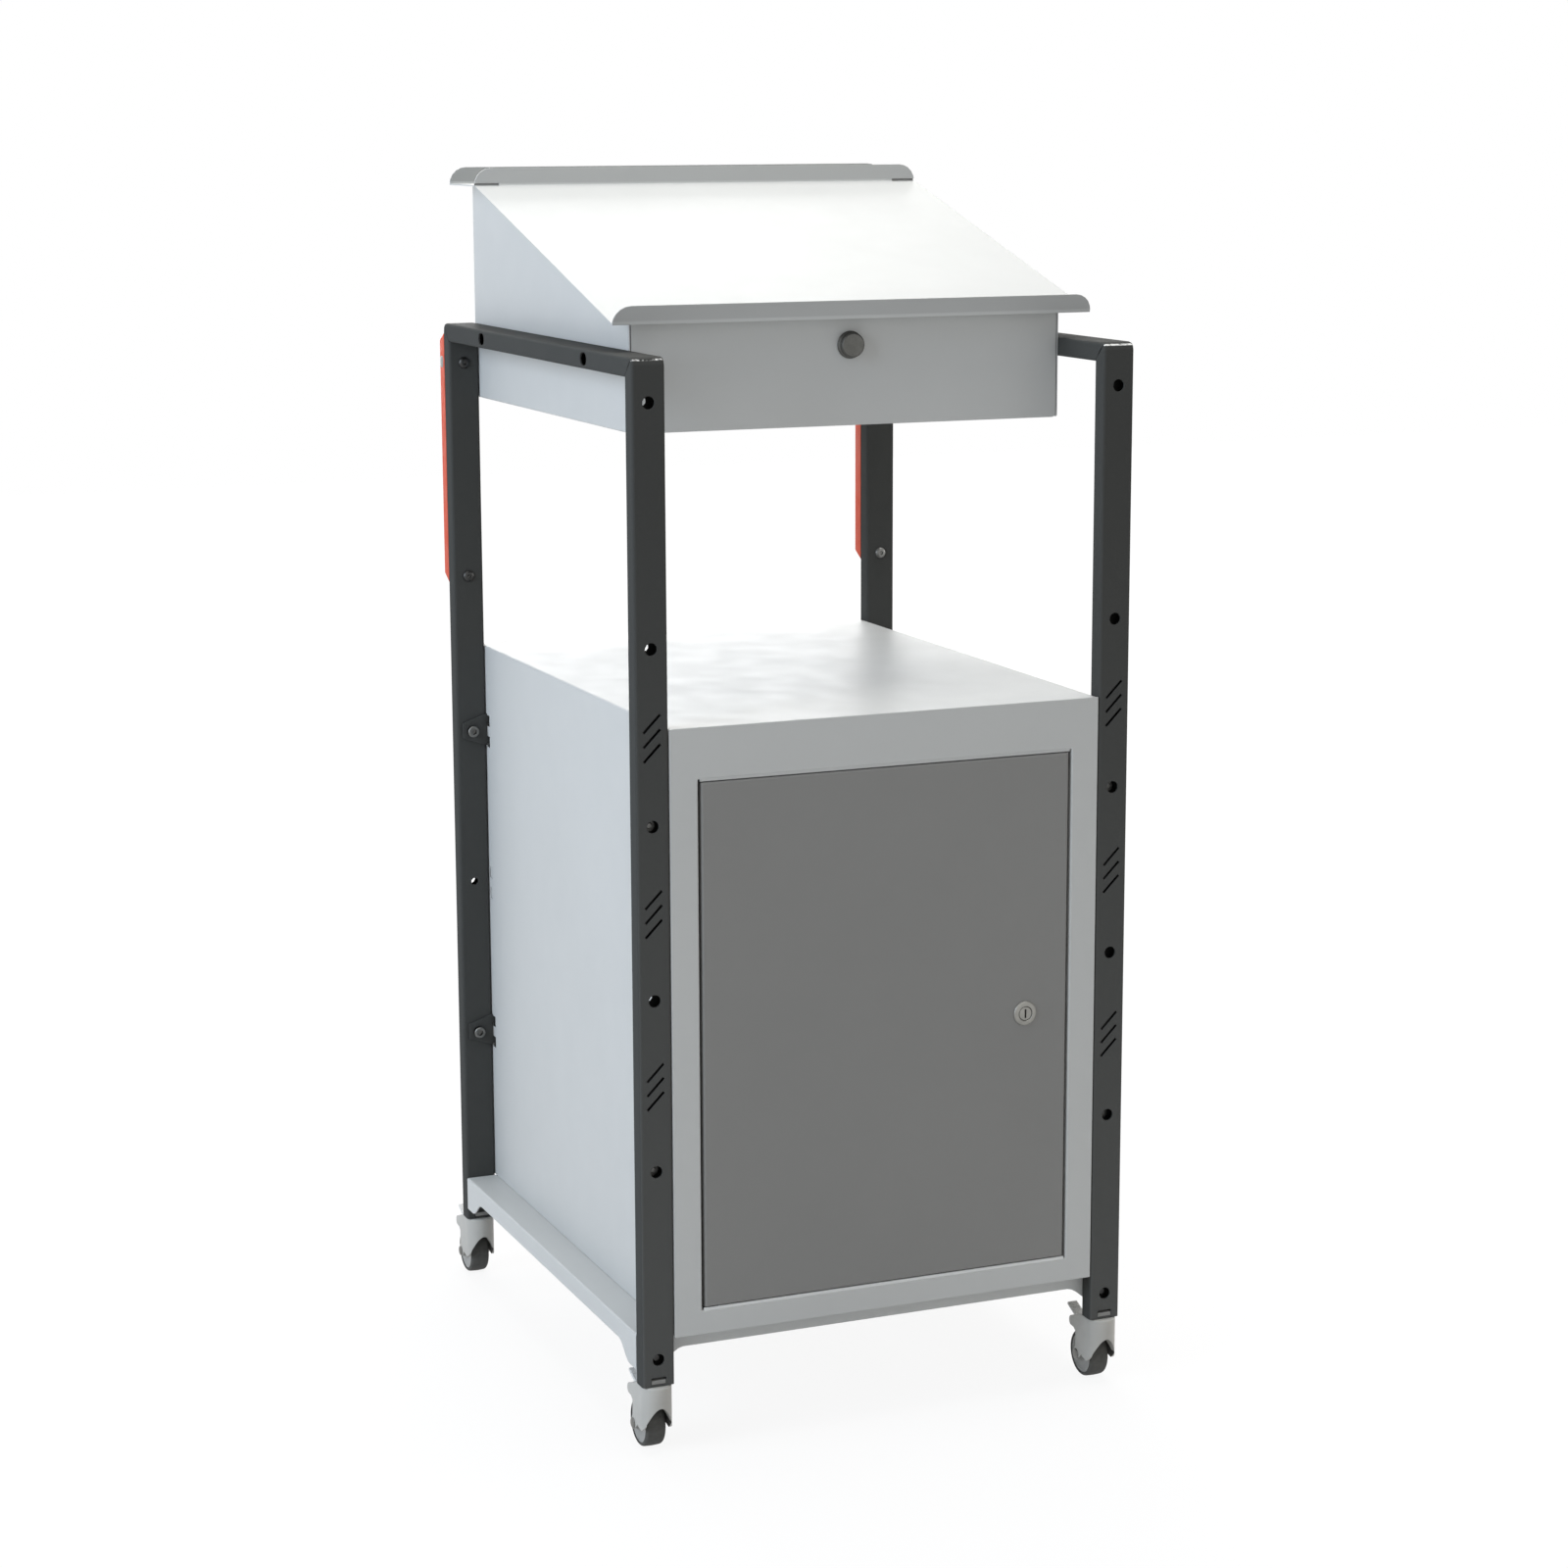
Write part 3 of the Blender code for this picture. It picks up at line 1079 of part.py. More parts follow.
def build_desk(root, finishes):
    """Desk box, writing top, pen tray and the drawer in its runners."""
    add_piece("desk_body", desk_body(), finishes["body"], root)
    add_piece("desk_back", desk_back(), finishes["body"], root)
    add_piece("desk_top", desk_top(), finishes["body"], root)
    add_piece("pen_tray", pen_tray(), finishes["body"], root)
    for side, side_name in ((-1, "left"), (1, "right")):
        add_piece(f"drawer_runner_{side_name}", drawer_runner(side), finishes["steel"], root)
    slide = add_empty("drawer_slide", root, (0, DESK_FRONT, DESK_BOTTOM))
    add_piece("drawer_front", drawer_front(), finishes["body"], slide)
    add_piece("drawer_tray", drawer_tray(), finishes["body"], slide)
    add_piece("drawer_knob", drawer_knob(), finishes["knob"], slide)


def build_casters(root, finishes):
    """Four swivel casters: plug and stem, fork, axle, hub, tyre and brake pedal."""
    moulds = {
        "plug": mesh_of(caster_plug), "fork": mesh_of(caster_fork), "axle": mesh_of(caster_axle),
        "hub": mesh_of(caster_hub), "tyre": mesh_of(caster_tyre), "pedal": mesh_of(caster_pedal),
    }
    for end, end_name in ((-1, "front"), (1, "rear")):
        for side, side_name in ((-1, "left"), (1, "right")):
            place_name = f"{end_name}_{side_name}"
            swivel = add_empty(f"swivel_{place_name}", root, (side * TUBE_X, end * TUBE_Y, 0))
            wheel = add_empty(f"wheel_{place_name}", swivel, (0, TRAIL, AXLE_HEIGHT))
            brake = add_empty(f"brake_{place_name}", swivel, (0, PEDAL_PIVOT_REAR, PEDAL_PIVOT_HEIGHT))
            carriers = {"plug": swivel, "fork": swivel, "pedal": brake}
            carriers.update({part: wheel for part in ("axle", "hub", "tyre")})
            for part, carrier in carriers.items():
                add_piece(f"caster_{part}_{place_name}", moulds[part], finishes[part], carrier)


def mesh_of(maker):
    """The finished mesh of a piece, whichever way its maker returns it."""
    made = maker()
    return mesh_from(made) if isinstance(made, bmesh.types.BMesh) else made


def build_finishes():
    """The finishes that the pieces share."""
    fork = paint("fork_plastic", (0.52, 0.53, 0.52), 0.55)
    steel = paint("bright_steel", (0.62, 0.62, 0.61), 0.35, 1.0)
    return {
        "frame": paint("anthracite_powder", (0.045, 0.05, 0.05), 0.6),
        "body": paint("light_grey_powder", (0.58, 0.60, 0.60), 0.5),
        "door": paint("stone_grey_powder", (0.18, 0.18, 0.17), 0.5),
        "grip": paint("red_plastic", (0.72, 0.11, 0.06), 0.45),
        "chrome": paint("satin_chrome", (0.66, 0.67, 0.67), 0.25, 1.0),
        "knob": paint("black_chrome", (0.10, 0.10, 0.10), 0.25, 1.0),
        "steel": steel,
        "plug": fork,
        "fork": fork,
        "pedal": fork,
        "axle": steel,
        "hub": paint("hub_plastic", (0.22, 0.22, 0.22), 0.6),
        "tyre": paint("tyre_rubber", (0.07, 0.07, 0.065), 0.8),
    }


def main():
    for leftover in list(bpy.data.objects):
        bpy.data.objects.remove(leftover)
    finishes = build_finishes()
    root = add_empty("desk_origin", None, (0, ORIGIN_SHIFT, 0))
    build_frame(root, finishes)
    build_cabinet(root, finishes)
    build_desk(root, finishes)
    build_casters(root, finishes)
    bpy.context.view_layer.update()


main()
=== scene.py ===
import json
import math

import bmesh
import bpy
from mathutils import Matrix, Vector


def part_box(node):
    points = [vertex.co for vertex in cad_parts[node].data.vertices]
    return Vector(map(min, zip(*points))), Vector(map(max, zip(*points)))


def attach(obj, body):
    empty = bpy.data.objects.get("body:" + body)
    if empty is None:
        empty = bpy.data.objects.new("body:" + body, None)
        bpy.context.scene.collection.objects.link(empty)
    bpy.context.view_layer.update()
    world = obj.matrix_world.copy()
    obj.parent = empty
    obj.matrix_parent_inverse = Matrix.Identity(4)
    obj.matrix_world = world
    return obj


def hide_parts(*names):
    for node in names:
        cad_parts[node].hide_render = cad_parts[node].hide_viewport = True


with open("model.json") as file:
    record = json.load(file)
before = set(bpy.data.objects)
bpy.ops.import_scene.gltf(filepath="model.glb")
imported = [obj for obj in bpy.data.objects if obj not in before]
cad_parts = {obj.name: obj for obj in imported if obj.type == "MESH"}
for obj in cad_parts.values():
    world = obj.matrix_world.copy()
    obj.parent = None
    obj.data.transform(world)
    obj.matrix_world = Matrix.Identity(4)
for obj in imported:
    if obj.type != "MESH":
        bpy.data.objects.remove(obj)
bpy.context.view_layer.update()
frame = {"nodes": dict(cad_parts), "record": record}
nodes = frame["nodes"]
scene = bpy.context.scene
mm = 0.001
corners = ("front_left", "front_right", "rear_left", "rear_right")
print("frame loaded:", len(nodes), "nodes")


# node helpers

def startFinish(name):
    finish = bpy.data.materials.new(name)
    finish.use_nodes = True
    tree = finish.node_tree
    return finish, tree, tree.nodes["Principled BSDF"]


def objectSpots(tree):
    return tree.nodes.new("ShaderNodeTexCoord").outputs["Object"]


def noise(tree, spots, scale, detail=2.0, roughness=0.5):
    node = tree.nodes.new("ShaderNodeTexNoise")
    node.inputs["Scale"].default_value = scale
    node.inputs["Detail"].default_value = detail
    node.inputs["Roughness"].default_value = roughness
    tree.links.new(spots, node.inputs["Vector"])
    return node.outputs["Fac"]


def remap(tree, value, low, high, toLow, toHigh):
    node = tree.nodes.new("ShaderNodeMapRange")
    node.inputs["From Min"].default_value = low
    node.inputs["From Max"].default_value = high
    node.inputs["To Min"].default_value = toLow
    node.inputs["To Max"].default_value = toHigh
    tree.links.new(value, node.inputs["Value"])
    return node.outputs["Result"]


def arithmetic(tree, operation, first, second):
    node = tree.nodes.new("ShaderNodeMath")
    node.operation = operation
    for socket, value in zip(node.inputs, (first, second)):
        if isinstance(value, (int, float)):
            socket.default_value = value
        else:
            tree.links.new(value, socket)
    return node.outputs["Value"]


def split(tree, vector):
    node = tree.nodes.new("ShaderNodeSeparateXYZ")
    tree.links.new(vector, node.inputs["Vector"])
    return node.outputs


noiseSpan = (0.3, 0.7)  # a noise mostly stays between these


def tones(tree, value, colour, dark, light, span=noiseSpan):
    # two shades of one colour, over the span of a noise
    node = tree.nodes.new("ShaderNodeValToRGB")
    for element, place, factor in zip(node.color_ramp.elements, span, (dark, light)):
        element.position = place
        element.color = (*shaded(colour, factor), 1.0)
    tree.links.new(value, node.inputs["Fac"])
    return node.outputs["Color"]


def blendColours(tree, share, first, second):
    node = tree.nodes.new("ShaderNodeMix")
    node.data_type = "RGBA"
    tree.links.new(share, node.inputs["Factor"])
    tree.links.new(first, node.inputs["A"])
    node.inputs["B"].default_value = (*second, 1.0)
    return node.outputs["Result"]


def setRoughness(tree, shader, value, level, grain):
    rough = remap(tree, value, *noiseSpan, level - grain["smoother"], level + grain["rougher"])
    tree.links.new(rough, shader.inputs["Roughness"])


def roundedNormal(tree, radius):
    node = tree.nodes.new("ShaderNodeBevel")
    node.samples = 6
    node.inputs["Radius"].default_value = radius
    return node.outputs["Normal"]


def edgeMask(tree, rounded, low, high):
    # 0 on flat faces, 1 where the rounded normal leaves the face's own normal
    flat = tree.nodes.new("ShaderNodeNewGeometry").outputs["Normal"]
    dot = tree.nodes.new("ShaderNodeVectorMath")
    dot.operation = "DOT_PRODUCT"
    tree.links.new(rounded, dot.inputs[0])
    tree.links.new(flat, dot.inputs[1])
    return remap(tree, dot.outputs["Value"], 1.0 - low, 1.0 - high, 0.0, 1.0)


def bump(tree, height, normal, strength, distance):
    node = tree.nodes.new("ShaderNodeBump")
    node.inputs["Strength"].default_value = strength
    node.inputs["Distance"].default_value = distance
    tree.links.new(height, node.inputs["Height"])
    if normal is not None:
        tree.links.new(normal, node.inputs["Normal"])
    return node.outputs["Normal"]


def shadedFaces(tree, base, dark):
    # pieces carry a "shade" on faces that lie in the dark, see addPiece
    marks = tree.nodes.new("ShaderNodeAttribute")
    marks.attribute_name = "shade"
    return blendColours(tree, marks.outputs["Fac"], base, dark)


def shaded(colour, factor):
    return tuple(min(1.0, part * factor) for part in colour)


# finishes

def mitreSeam(tree, spots, line):
    # the closed mitre shows as a fine dark line from each outer corner of the frame to the inner one
    parts = split(tree, spots)
    below = arithmetic(tree, "SUBTRACT", line["top"], parts["Z"])
    seams = None
    for end, sign in ((line["frontFace"], 1), (line["rearFace"], -1)):
        inward = arithmetic(tree, "MULTIPLY", arithmetic(tree, "SUBTRACT", parts["Y"], end), sign)
        apart = arithmetic(tree, "ABSOLUTE", arithmetic(tree, "SUBTRACT", below, inward), 0.0)
        seam = arithmetic(tree, "LESS_THAN", apart, line["seam"])
        seams = seam if seams is None else arithmetic(tree, "MAXIMUM", seams, seam)
    return arithmetic(tree, "MULTIPLY", seams, arithmetic(tree, "LESS_THAN", below, line["tube"]))


def foldLine(tree, spots, line):
    # a painted highlight across the front of the uprights just below the fold, broken on the left one and
    # fuller on the right
    parts = split(tree, spots)
    band = arithmetic(tree, "GREATER_THAN", parts["Z"], line["low"])
    for axis, limit in (("Z", line["high"]), ("Y", line["front"])):
        band = arithmetic(tree, "MULTIPLY", band, arithmetic(tree, "LESS_THAN", parts[axis], limit))
    onRight = arithmetic(tree, "GREATER_THAN", parts["X"], 0.0)
    fuller = arithmetic(tree, "MULTIPLY", onRight, line["fuller"])
    broken = arithmetic(tree, "ADD", noise(tree, spots, line["grain"]), fuller)
    share = remap(tree, broken, line["highlightFrom"], line["highlightTo"], 0.0, 1.0)
    return arithmetic(tree, "MULTIPLY", band, share)


def abovePlane(tree, spots, plane):
    # 1 on what stands up from a sheet, 0 on the sheet itself
    dot = tree.nodes.new("ShaderNodeVectorMath")
    dot.operation = "DOT_PRODUCT"
    dot.inputs[1].default_value = plane["normal"]
    tree.links.new(spots, dot.inputs[0])
    return remap(tree, dot.outputs["Value"], plane["start"], plane["end"], 0.0, 1.0)


def frontFloorLight(tree, spots, dustAndFloorLight):
    # painted floor light: faces turned to the front are painted lighter towards the floor, as if lit from the
    # floor
    parts = split(tree, spots)
    facing = split(tree, tree.nodes.new("ShaderNodeNewGeometry").outputs["Normal"])
    forward = remap(tree, facing["Y"], dustAndFloorLight["turnFrom"], dustAndFloorLight["turnTo"], 0.0, 1.0)
    low = remap(tree, parts["Z"], 0.0, dustAndFloorLight["height"], 1.0, 0.0)
    ahead = arithmetic(tree, "LESS_THAN", parts["Y"], 0.0)
    return arithmetic(tree, "MULTIPLY", arithmetic(tree, "MULTIPLY", forward, low), ahead)


powderGrain = {
    "cloud": 5.0, "cloudDark": 0.985, "cloudLight": 1.015, "edgeFrom": 0.06, "edgeTo": 0.3,
    "chips": 90.0, "chipDetail": 4.0, "chipRough": 0.65, "chipFrom": 0.48, "chipTo": 0.66,
    "gloss": 28.0, "smoother": 0.03, "rougher": 0.04, "seamTone": 0.2,
    "peelWide": 380.0, "peelFine": 1500.0, "fineShare": 0.4, "peelDepth": 0.3 * mm}


def powderFinish(name, look):
    # sprayed powder coat: orange peel, a slightly cloudy tone, paint thinned by wear on the edges, which also
    # serves as a painted highlight along them
    grain = powderGrain
    finish, tree, shader = startFinish(name)
    spots = objectSpots(tree)
    cloud = noise(tree, spots, grain["cloud"])
    colour = tones(tree, cloud, look["colour"], grain["cloudDark"], grain["cloudLight"])
    rounded = roundedNormal(tree, look["edge"])
    edges = edgeMask(tree, rounded, grain["edgeFrom"], grain["edgeTo"])
    chips = noise(tree, spots, grain["chips"], grain["chipDetail"], grain["chipRough"])
    broken = remap(tree, chips, grain["chipFrom"], grain["chipTo"], 0.0, look["wear"])
    wornAndLitEdges = arithmetic(tree, "MULTIPLY", edges, broken)
    # painted floor light on the front faces, lighter towards the floor
    if "dustAndFloorLight" in look:
        colour = blendColours(tree, frontFloorLight(tree, spots, look["dustAndFloorLight"]), colour, look["dustAndFloorLight"]["colour"])
    # painted shade on the turned-up lips
    if "lips" in look:
        colour = blendColours(tree, abovePlane(tree, spots, look["lips"]), colour, look["lipShadeColour"])
    # edges painted lighter: partly wear, partly a painted highlight along the edges
    colour = blendColours(tree, wornAndLitEdges, colour, look["wornAndLitEdgeColour"])
    if "foldLine" in look:
        seams = mitreSeam(tree, spots, look["foldLine"])
        colour = blendColours(tree, seams, colour, shaded(look["colour"], grain["seamTone"]))
        # painted highlight along the fold of the uprights
        foldHighlight = foldLine(tree, spots, look["foldLine"])
        colour = blendColours(tree, foldHighlight, colour, look["foldLine"]["colour"])
    tree.links.new(colour, shader.inputs["Base Color"])
    setRoughness(tree, shader, noise(tree, spots, grain["gloss"]), look["rough"], grain)
    fine = arithmetic(tree, "MULTIPLY", noise(tree, spots, grain["peelFine"]), grain["fineShare"])
    peel = arithmetic(tree, "ADD", noise(tree, spots, grain["peelWide"]), fine)
    tree.links.new(bump(tree, peel, rounded, look["peel"], grain["peelDepth"]), shader.inputs["Normal"])
    shader.inputs["Specular IOR Level"].default_value = look["gloss"]
    return finish


mouldedGrain = {
    "flow": 24.0, "flowDark": 0.94, "flowLight": 1.05, "detail": 3.0, "edgeFrom": 0.08, "edgeTo": 0.4,
    "scuffs": 160.0, "scuffDetail": 4.0, "scuffRough": 0.7, "scuffFrom": 0.5, "scuffTo": 0.68,
    "specks": 1100.0, "speckFrom": 0.5, "speckTo": 0.62, "speckShare": 0.6, "shadeTone": 0.16,
    "gloss": 60.0, "smoother": 0.06, "rougher": 0.08,
    "spark": 1900.0, "sparkStrength": 0.2, "sparkDepth": 0.2 * mm}


def mouldedFinish(name, look):
    # injection moulded plastic: fine spark-eroded grain and faint flow marks
    grain = mouldedGrain
    finish, tree, shader = startFinish(name)
    spots = objectSpots(tree)
    flow = noise(tree, spots, grain["flow"], grain["detail"])
    colour = tones(tree, flow, look["colour"], grain["flowDark"], grain["flowLight"])
    rounded = roundedNormal(tree, look["edge"])
    edges = edgeMask(tree, rounded, grain["edgeFrom"], grain["edgeTo"])
    scuffs = noise(tree, spots, grain["scuffs"], grain["scuffDetail"], grain["scuffRough"])
    broken = remap(tree, scuffs, grain["scuffFrom"], grain["scuffTo"], 0.0, look["wear"])
    # scuffed edges painted lighter, partly as a painted highlight along the edges
    wornAndLitEdges = arithmetic(tree, "MULTIPLY", edges, broken)
    colour = blendColours(tree, wornAndLitEdges, colour, look["wornAndLitEdgeColour"])
    if "speck" in look:
        dots = noise(tree, spots, grain["specks"])
        specks = remap(tree, dots, grain["speckFrom"], grain["speckTo"], 0.0, grain["speckShare"])
        colour = blendColours(tree, specks, colour, look["speck"])
    colour = shadedFaces(tree, colour, shaded(look["colour"], grain["shadeTone"]))
    tree.links.new(colour, shader.inputs["Base Color"])
    setRoughness(tree, shader, noise(tree, spots, grain["gloss"], grain["detail"]), look["rough"], grain)
    spark = noise(tree, spots, grain["spark"])
    normal = bump(tree, spark, rounded, grain["sparkStrength"], grain["sparkDepth"])
    tree.links.new(normal, shader.inputs["Normal"])
    shader.inputs["Specular IOR Level"].default_value = look["gloss"]
    return finish


platedGrain = {
    "mottle": 140.0, "mottleDark": 0.9, "mottleLight": 1.06, "detail": 3.0, "shadeTone": 0.2,
    "gloss": 420.0, "smoother": 0.05, "rougher": 0.08,
    "marks": 2400.0, "markStrength": 0.08, "markDepth": 0.1 * mm}


def platedFinish(name, look):
    # plated metal: faint mottling in tone and gloss, fine turning or rolling marks
    grain = platedGrain
    finish, tree, shader = startFinish(name)
    spots = objectSpots(tree)
    mottle = noise(tree, spots, grain["mottle"], grain["detail"])
    base = tones(tree, mottle, look["colour"], grain["mottleDark"], grain["mottleLight"])
    colour = shadedFaces(tree, base, shaded(look["colour"], grain["shadeTone"]))
    tree.links.new(colour, shader.inputs["Base Color"])
    setRoughness(tree, shader, noise(tree, spots, grain["gloss"], grain["detail"]), look["rough"], grain)
    rounded = roundedNormal(tree, look["edge"])
    marks = noise(tree, spots, grain["marks"])
    normal = bump(tree, marks, rounded, grain["markStrength"], grain["markDepth"])
    tree.links.new(normal, shader.inputs["Normal"])
    shader.inputs["Metallic"].default_value = 1.0
    return finish


rubberGrain = {
    "dustAndFloorLight": 120.0, "dustDetail": 5.0, "dustRough": 0.65, "dustDark": 0.85, "dustLight": 1.25,
    "dustSpan": (0.35, 0.72), "smoother": 0.08, "rougher": 0.08, "gloss": 0.3,
    "pores": 900.0, "poreDetail": 4.0, "poreStrength": 0.3, "poreDepth": 0.3 * mm}


def rubberFinish(name, look):
    # tyre rubber: dusty high spots over a dull dark body
    grain = rubberGrain
    finish, tree, shader = startFinish(name)
    spots = objectSpots(tree)
    dustAndFloorLight = noise(tree, spots, grain["dustAndFloorLight"], grain["dustDetail"], grain["dustRough"])
    base = tones(tree, dustAndFloorLight, look["colour"], grain["dustDark"], grain["dustLight"], grain["dustSpan"])
    tree.links.new(base, shader.inputs["Base Color"])
    setRoughness(tree, shader, dustAndFloorLight, look["rough"], grain)
    pores = noise(tree, spots, grain["pores"], grain["poreDetail"])
    normal = bump(tree, pores, None, grain["poreStrength"], grain["poreDepth"])
    tree.links.new(normal, shader.inputs["Normal"])
    shader.inputs["Specular IOR Level"].default_value = grain["gloss"]
    return finish


frameLow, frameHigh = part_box("side_frame_left")
frameTop = frameHigh.z
tubeDepth, tubeWall = 20 * mm, 2 * mm
bodyPaint = {
    "colour": (0.567, 0.575, 0.564), "wornAndLitEdgeColour": (0.68, 0.68, 0.67), "wear": 0.5,
    "rough": 0.45, "peel": 0.18, "edge": 0.8 * mm, "gloss": 0.35}
finishes = {
    "frame_paint": powderFinish("framePaint", {
        "colour": (0.068, 0.069, 0.066), "wornAndLitEdgeColour": (0.2, 0.2, 0.195), "wear": 0.5,
        "rough": 0.55, "peel": 0.35, "edge": 1.4 * mm, "gloss": 0.006,
        # painted floor light: the fronts of the uprights are painted lighter towards the floor
        "dustAndFloorLight": {"colour": (0.112, 0.114, 0.11), "height": 1.0, "turnFrom": -0.3, "turnTo": -0.9},
        # the fold line's colour is a painted highlight; its seam values draw the dark mitre lines
        "foldLine": {
            "colour": (0.8, 0.8, 0.78), "low": frameTop - 3.4 * mm, "high": frameTop - 1.6 * mm,
            "front": frameLow.y + 3 * mm, "grain": 260.0, "fuller": 0.2, "highlightFrom": 0.46, "highlightTo": 0.68,
            "top": frameTop, "frontFace": frameLow.y, "rearFace": frameHigh.y,
            "seam": 0.45 * mm, "tube": tubeDepth}}),
    "body_paint": powderFinish("bodyPaint", bodyPaint),
    "door_paint": powderFinish("doorPaint", {
        "colour": (0.242, 0.24, 0.231), "wornAndLitEdgeColour": (0.42, 0.42, 0.41), "wear": 0.45,
        "rough": 0.45, "peel": 0.2, "edge": 0.9 * mm, "gloss": 0.35}),
    "grip_plastic": mouldedFinish("gripPlastic", {
        "colour": (0.68, 0.098, 0.05), "wornAndLitEdgeColour": (0.75, 0.3, 0.22), "wear": 0.25,
        "rough": 0.52, "edge": 0.8 * mm, "gloss": 0.12}),
    "fork_plastic": mouldedFinish("forkPlastic", {
        "colour": (0.49, 0.48, 0.448), "wornAndLitEdgeColour": (0.58, 0.57, 0.54), "wear": 0.3,
        "rough": 0.45, "edge": 0.8 * mm, "gloss": 0.4}),
    "hub_plastic": mouldedFinish("hubPlastic", {
        "colour": (0.36, 0.355, 0.335), "wornAndLitEdgeColour": (0.45, 0.45, 0.43), "wear": 0.3,
        "rough": 0.5, "edge": 0.5 * mm, "gloss": 0.3}),
    "zinc_steel": platedFinish("zincSteel", {
        "colour": (0.56, 0.57, 0.57), "rough": 0.36, "edge": 0.5 * mm}),
    "lock_chrome": platedFinish("lockChrome", {
        "colour": (0.265, 0.262, 0.244), "rough": 0.48, "edge": 0.3 * mm}),
    "knob_chrome": platedFinish("knobChrome", {
        "colour": (0.1, 0.1, 0.094), "rough": 0.5, "edge": 0.3 * mm}),
    "tyre_rubber": rubberFinish("tyreRubber", {"colour": (0.086, 0.085, 0.079), "rough": 0.72}),
}
boltBlack = platedFinish("boltBlack", {"colour": (0.06, 0.06, 0.059), "rough": 0.4, "edge": 0.3 * mm})
boltGrey = platedFinish("boltGrey", {"colour": (0.18, 0.18, 0.172), "rough": 0.42, "edge": 0.3 * mm})
capSteel = platedFinish("capSteel", {"colour": (0.34, 0.34, 0.335), "rough": 0.4, "edge": 0.5 * mm})
pedalPlastic = mouldedFinish("pedalPlastic", {
    "colour": (0.8, 0.79, 0.765), "wornAndLitEdgeColour": (0.88, 0.88, 0.86), "wear": 0.2, "speck": (0.5, 0.49, 0.47),
    "rough": 0.6, "edge": 0.6 * mm, "gloss": 0.3})
plugPlastic = mouldedFinish("plugPlastic", {
    "colour": (0.27, 0.268, 0.255), "wornAndLitEdgeColour": (0.36, 0.36, 0.34), "wear": 0.3,
    "rough": 0.5, "edge": 0.5 * mm, "gloss": 0.3})

for part in frame["record"]["subparts"]:
    shell = nodes[part["node"]].data
    shell.materials.clear()
    shell.materials.append(finishes[part["material_slot"]])
for pin in ("door_pin_top", "door_pin_bottom"):
    nodes[pin].data.materials[0] = boltBlack
for place in corners:
    nodes[f"caster_plug_{place}"].data.materials[0] = plugPlastic


lipLook = {"lean": 5.4 * mm, "start": 3 * mm, "blend": 1 * mm, "topLipShade": 0.82, "trayLipShade": 0.64}


def lipShadeFinish(name, normal, sheet, tone):
    # painted shade: the turned-up lips are painted darker than the sheet they belong to
    start = sheet + lipLook["start"]
    plane = {"normal": normal, "start": start, "end": start + lipLook["blend"]}
    return powderFinish(name, {**bodyPaint, "lips": plane, "lipShadeColour": shaded(bodyPaint["colour"], tone)})


topLow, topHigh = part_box("desk_top")
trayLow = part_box("pen_tray")[0]
upward = Vector((0, 0, 1))
square = Vector((0, topLow.z - trayLow.z, topHigh.y - topLow.y - lipLook["lean"])).normalized()
underTop = square.dot(Vector((0, topHigh.y, trayLow.z)))
nodes["desk_top"].data.materials[0] = lipShadeFinish("topPaintShadedLips", square, underTop, lipLook["topLipShade"])
nodes["pen_tray"].data.materials[0] = lipShadeFinish("trayPaintShadedLips", upward, trayLow.z, lipLook["trayLipShade"])
shellPaint = powderFinish("shellPaint", {**bodyPaint, "gloss": 0.45, "rough": 0.48})
nodes["cabinet_shell"].data.materials[0] = shellPaint
print("finishes set:", len(finishes))


# mesh helpers

def addBar(bm, rings, capped=True):
    # a bar through rings of corners, added to a mesh
    loops = [[bm.verts.new(corner) for corner in ring] for ring in rings]
    for near, far in zip(loops, loops[1:]):
        for index in range(len(near)):
            after = (index + 1) % len(near)
            bm.faces.new((near[index], near[after], far[after], far[index]))
    if capped:
        bm.faces.new(loops[0])
        bm.faces.new(loops[-1])


def ringMesh(rings, capped=True):
    bm = bmesh.new()
    addBar(bm, rings, capped)
    return bm


def turned(profile, spot, direction, steps, capped=True):
    # profile: radius (a number, or a function of the angle) and place along the axis
    turn = upward.rotation_difference(Vector(direction)).to_matrix().to_4x4()
    place = Matrix.Translation(spot) @ turn
    rings = []
    for radius, along in profile:
        ring = []
        for step in range(steps):
            angle = 2 * math.pi * step / steps
            reach = radius(angle) if callable(radius) else radius
            ring.append(place @ Vector((reach * math.cos(angle), reach * math.sin(angle), along)))
        rings.append(ring)
    return ringMesh(rings, capped)


def arcPoints(centre, radius, start, end, steps):
    spots = []
    for step in range(steps + 1):
        angle = math.radians(start + (end - start) * step / steps)
        spots.append((centre[0] + radius * math.cos(angle), centre[1] + radius * math.sin(angle)))
    return spots


def slab(outline, low, high, axis="X"):
    # a flat outline drawn out between two places on an axis
    def spot(a, b, along):
        return {"X": (along, a, b), "Y": (a, along, b), "Z": (a, b, along)}[axis]
    return ringMesh([[spot(a, b, along) for a, b in outline] for along in (low, high)])


weldReach = 0.001 * mm


def meshFrom(bm, name):
    bmesh.ops.remove_doubles(bm, verts=bm.verts, dist=weldReach)
    bmesh.ops.recalc_face_normals(bm, faces=bm.faces)
    mesh = bpy.data.meshes.new(name)
    bm.to_mesh(mesh)
    bm.free()
    return mesh


def carved(bm, *steps):
    base = bpy.data.objects.new("base", meshFrom(bm, "base"))
    scene.collection.objects.link(base)
    tools = []
    for operation, toolMesh in steps:
        tool = bpy.data.objects.new("tool", meshFrom(toolMesh, "tool"))
        scene.collection.objects.link(tool)
        cut = base.modifiers.new(operation, "BOOLEAN")
        cut.operation = operation
        cut.object = tool
        tools.append(tool)
    bpy.context.view_layer.update()
    mesh = bpy.data.meshes.new_from_object(base.evaluated_get(bpy.context.evaluated_depsgraph_get()))
    for spare in [base] + tools:
        bpy.data.objects.remove(spare)
    return mesh


edgeLook = {"sharp": 35, "softAngle": 32, "softSteps": 3}


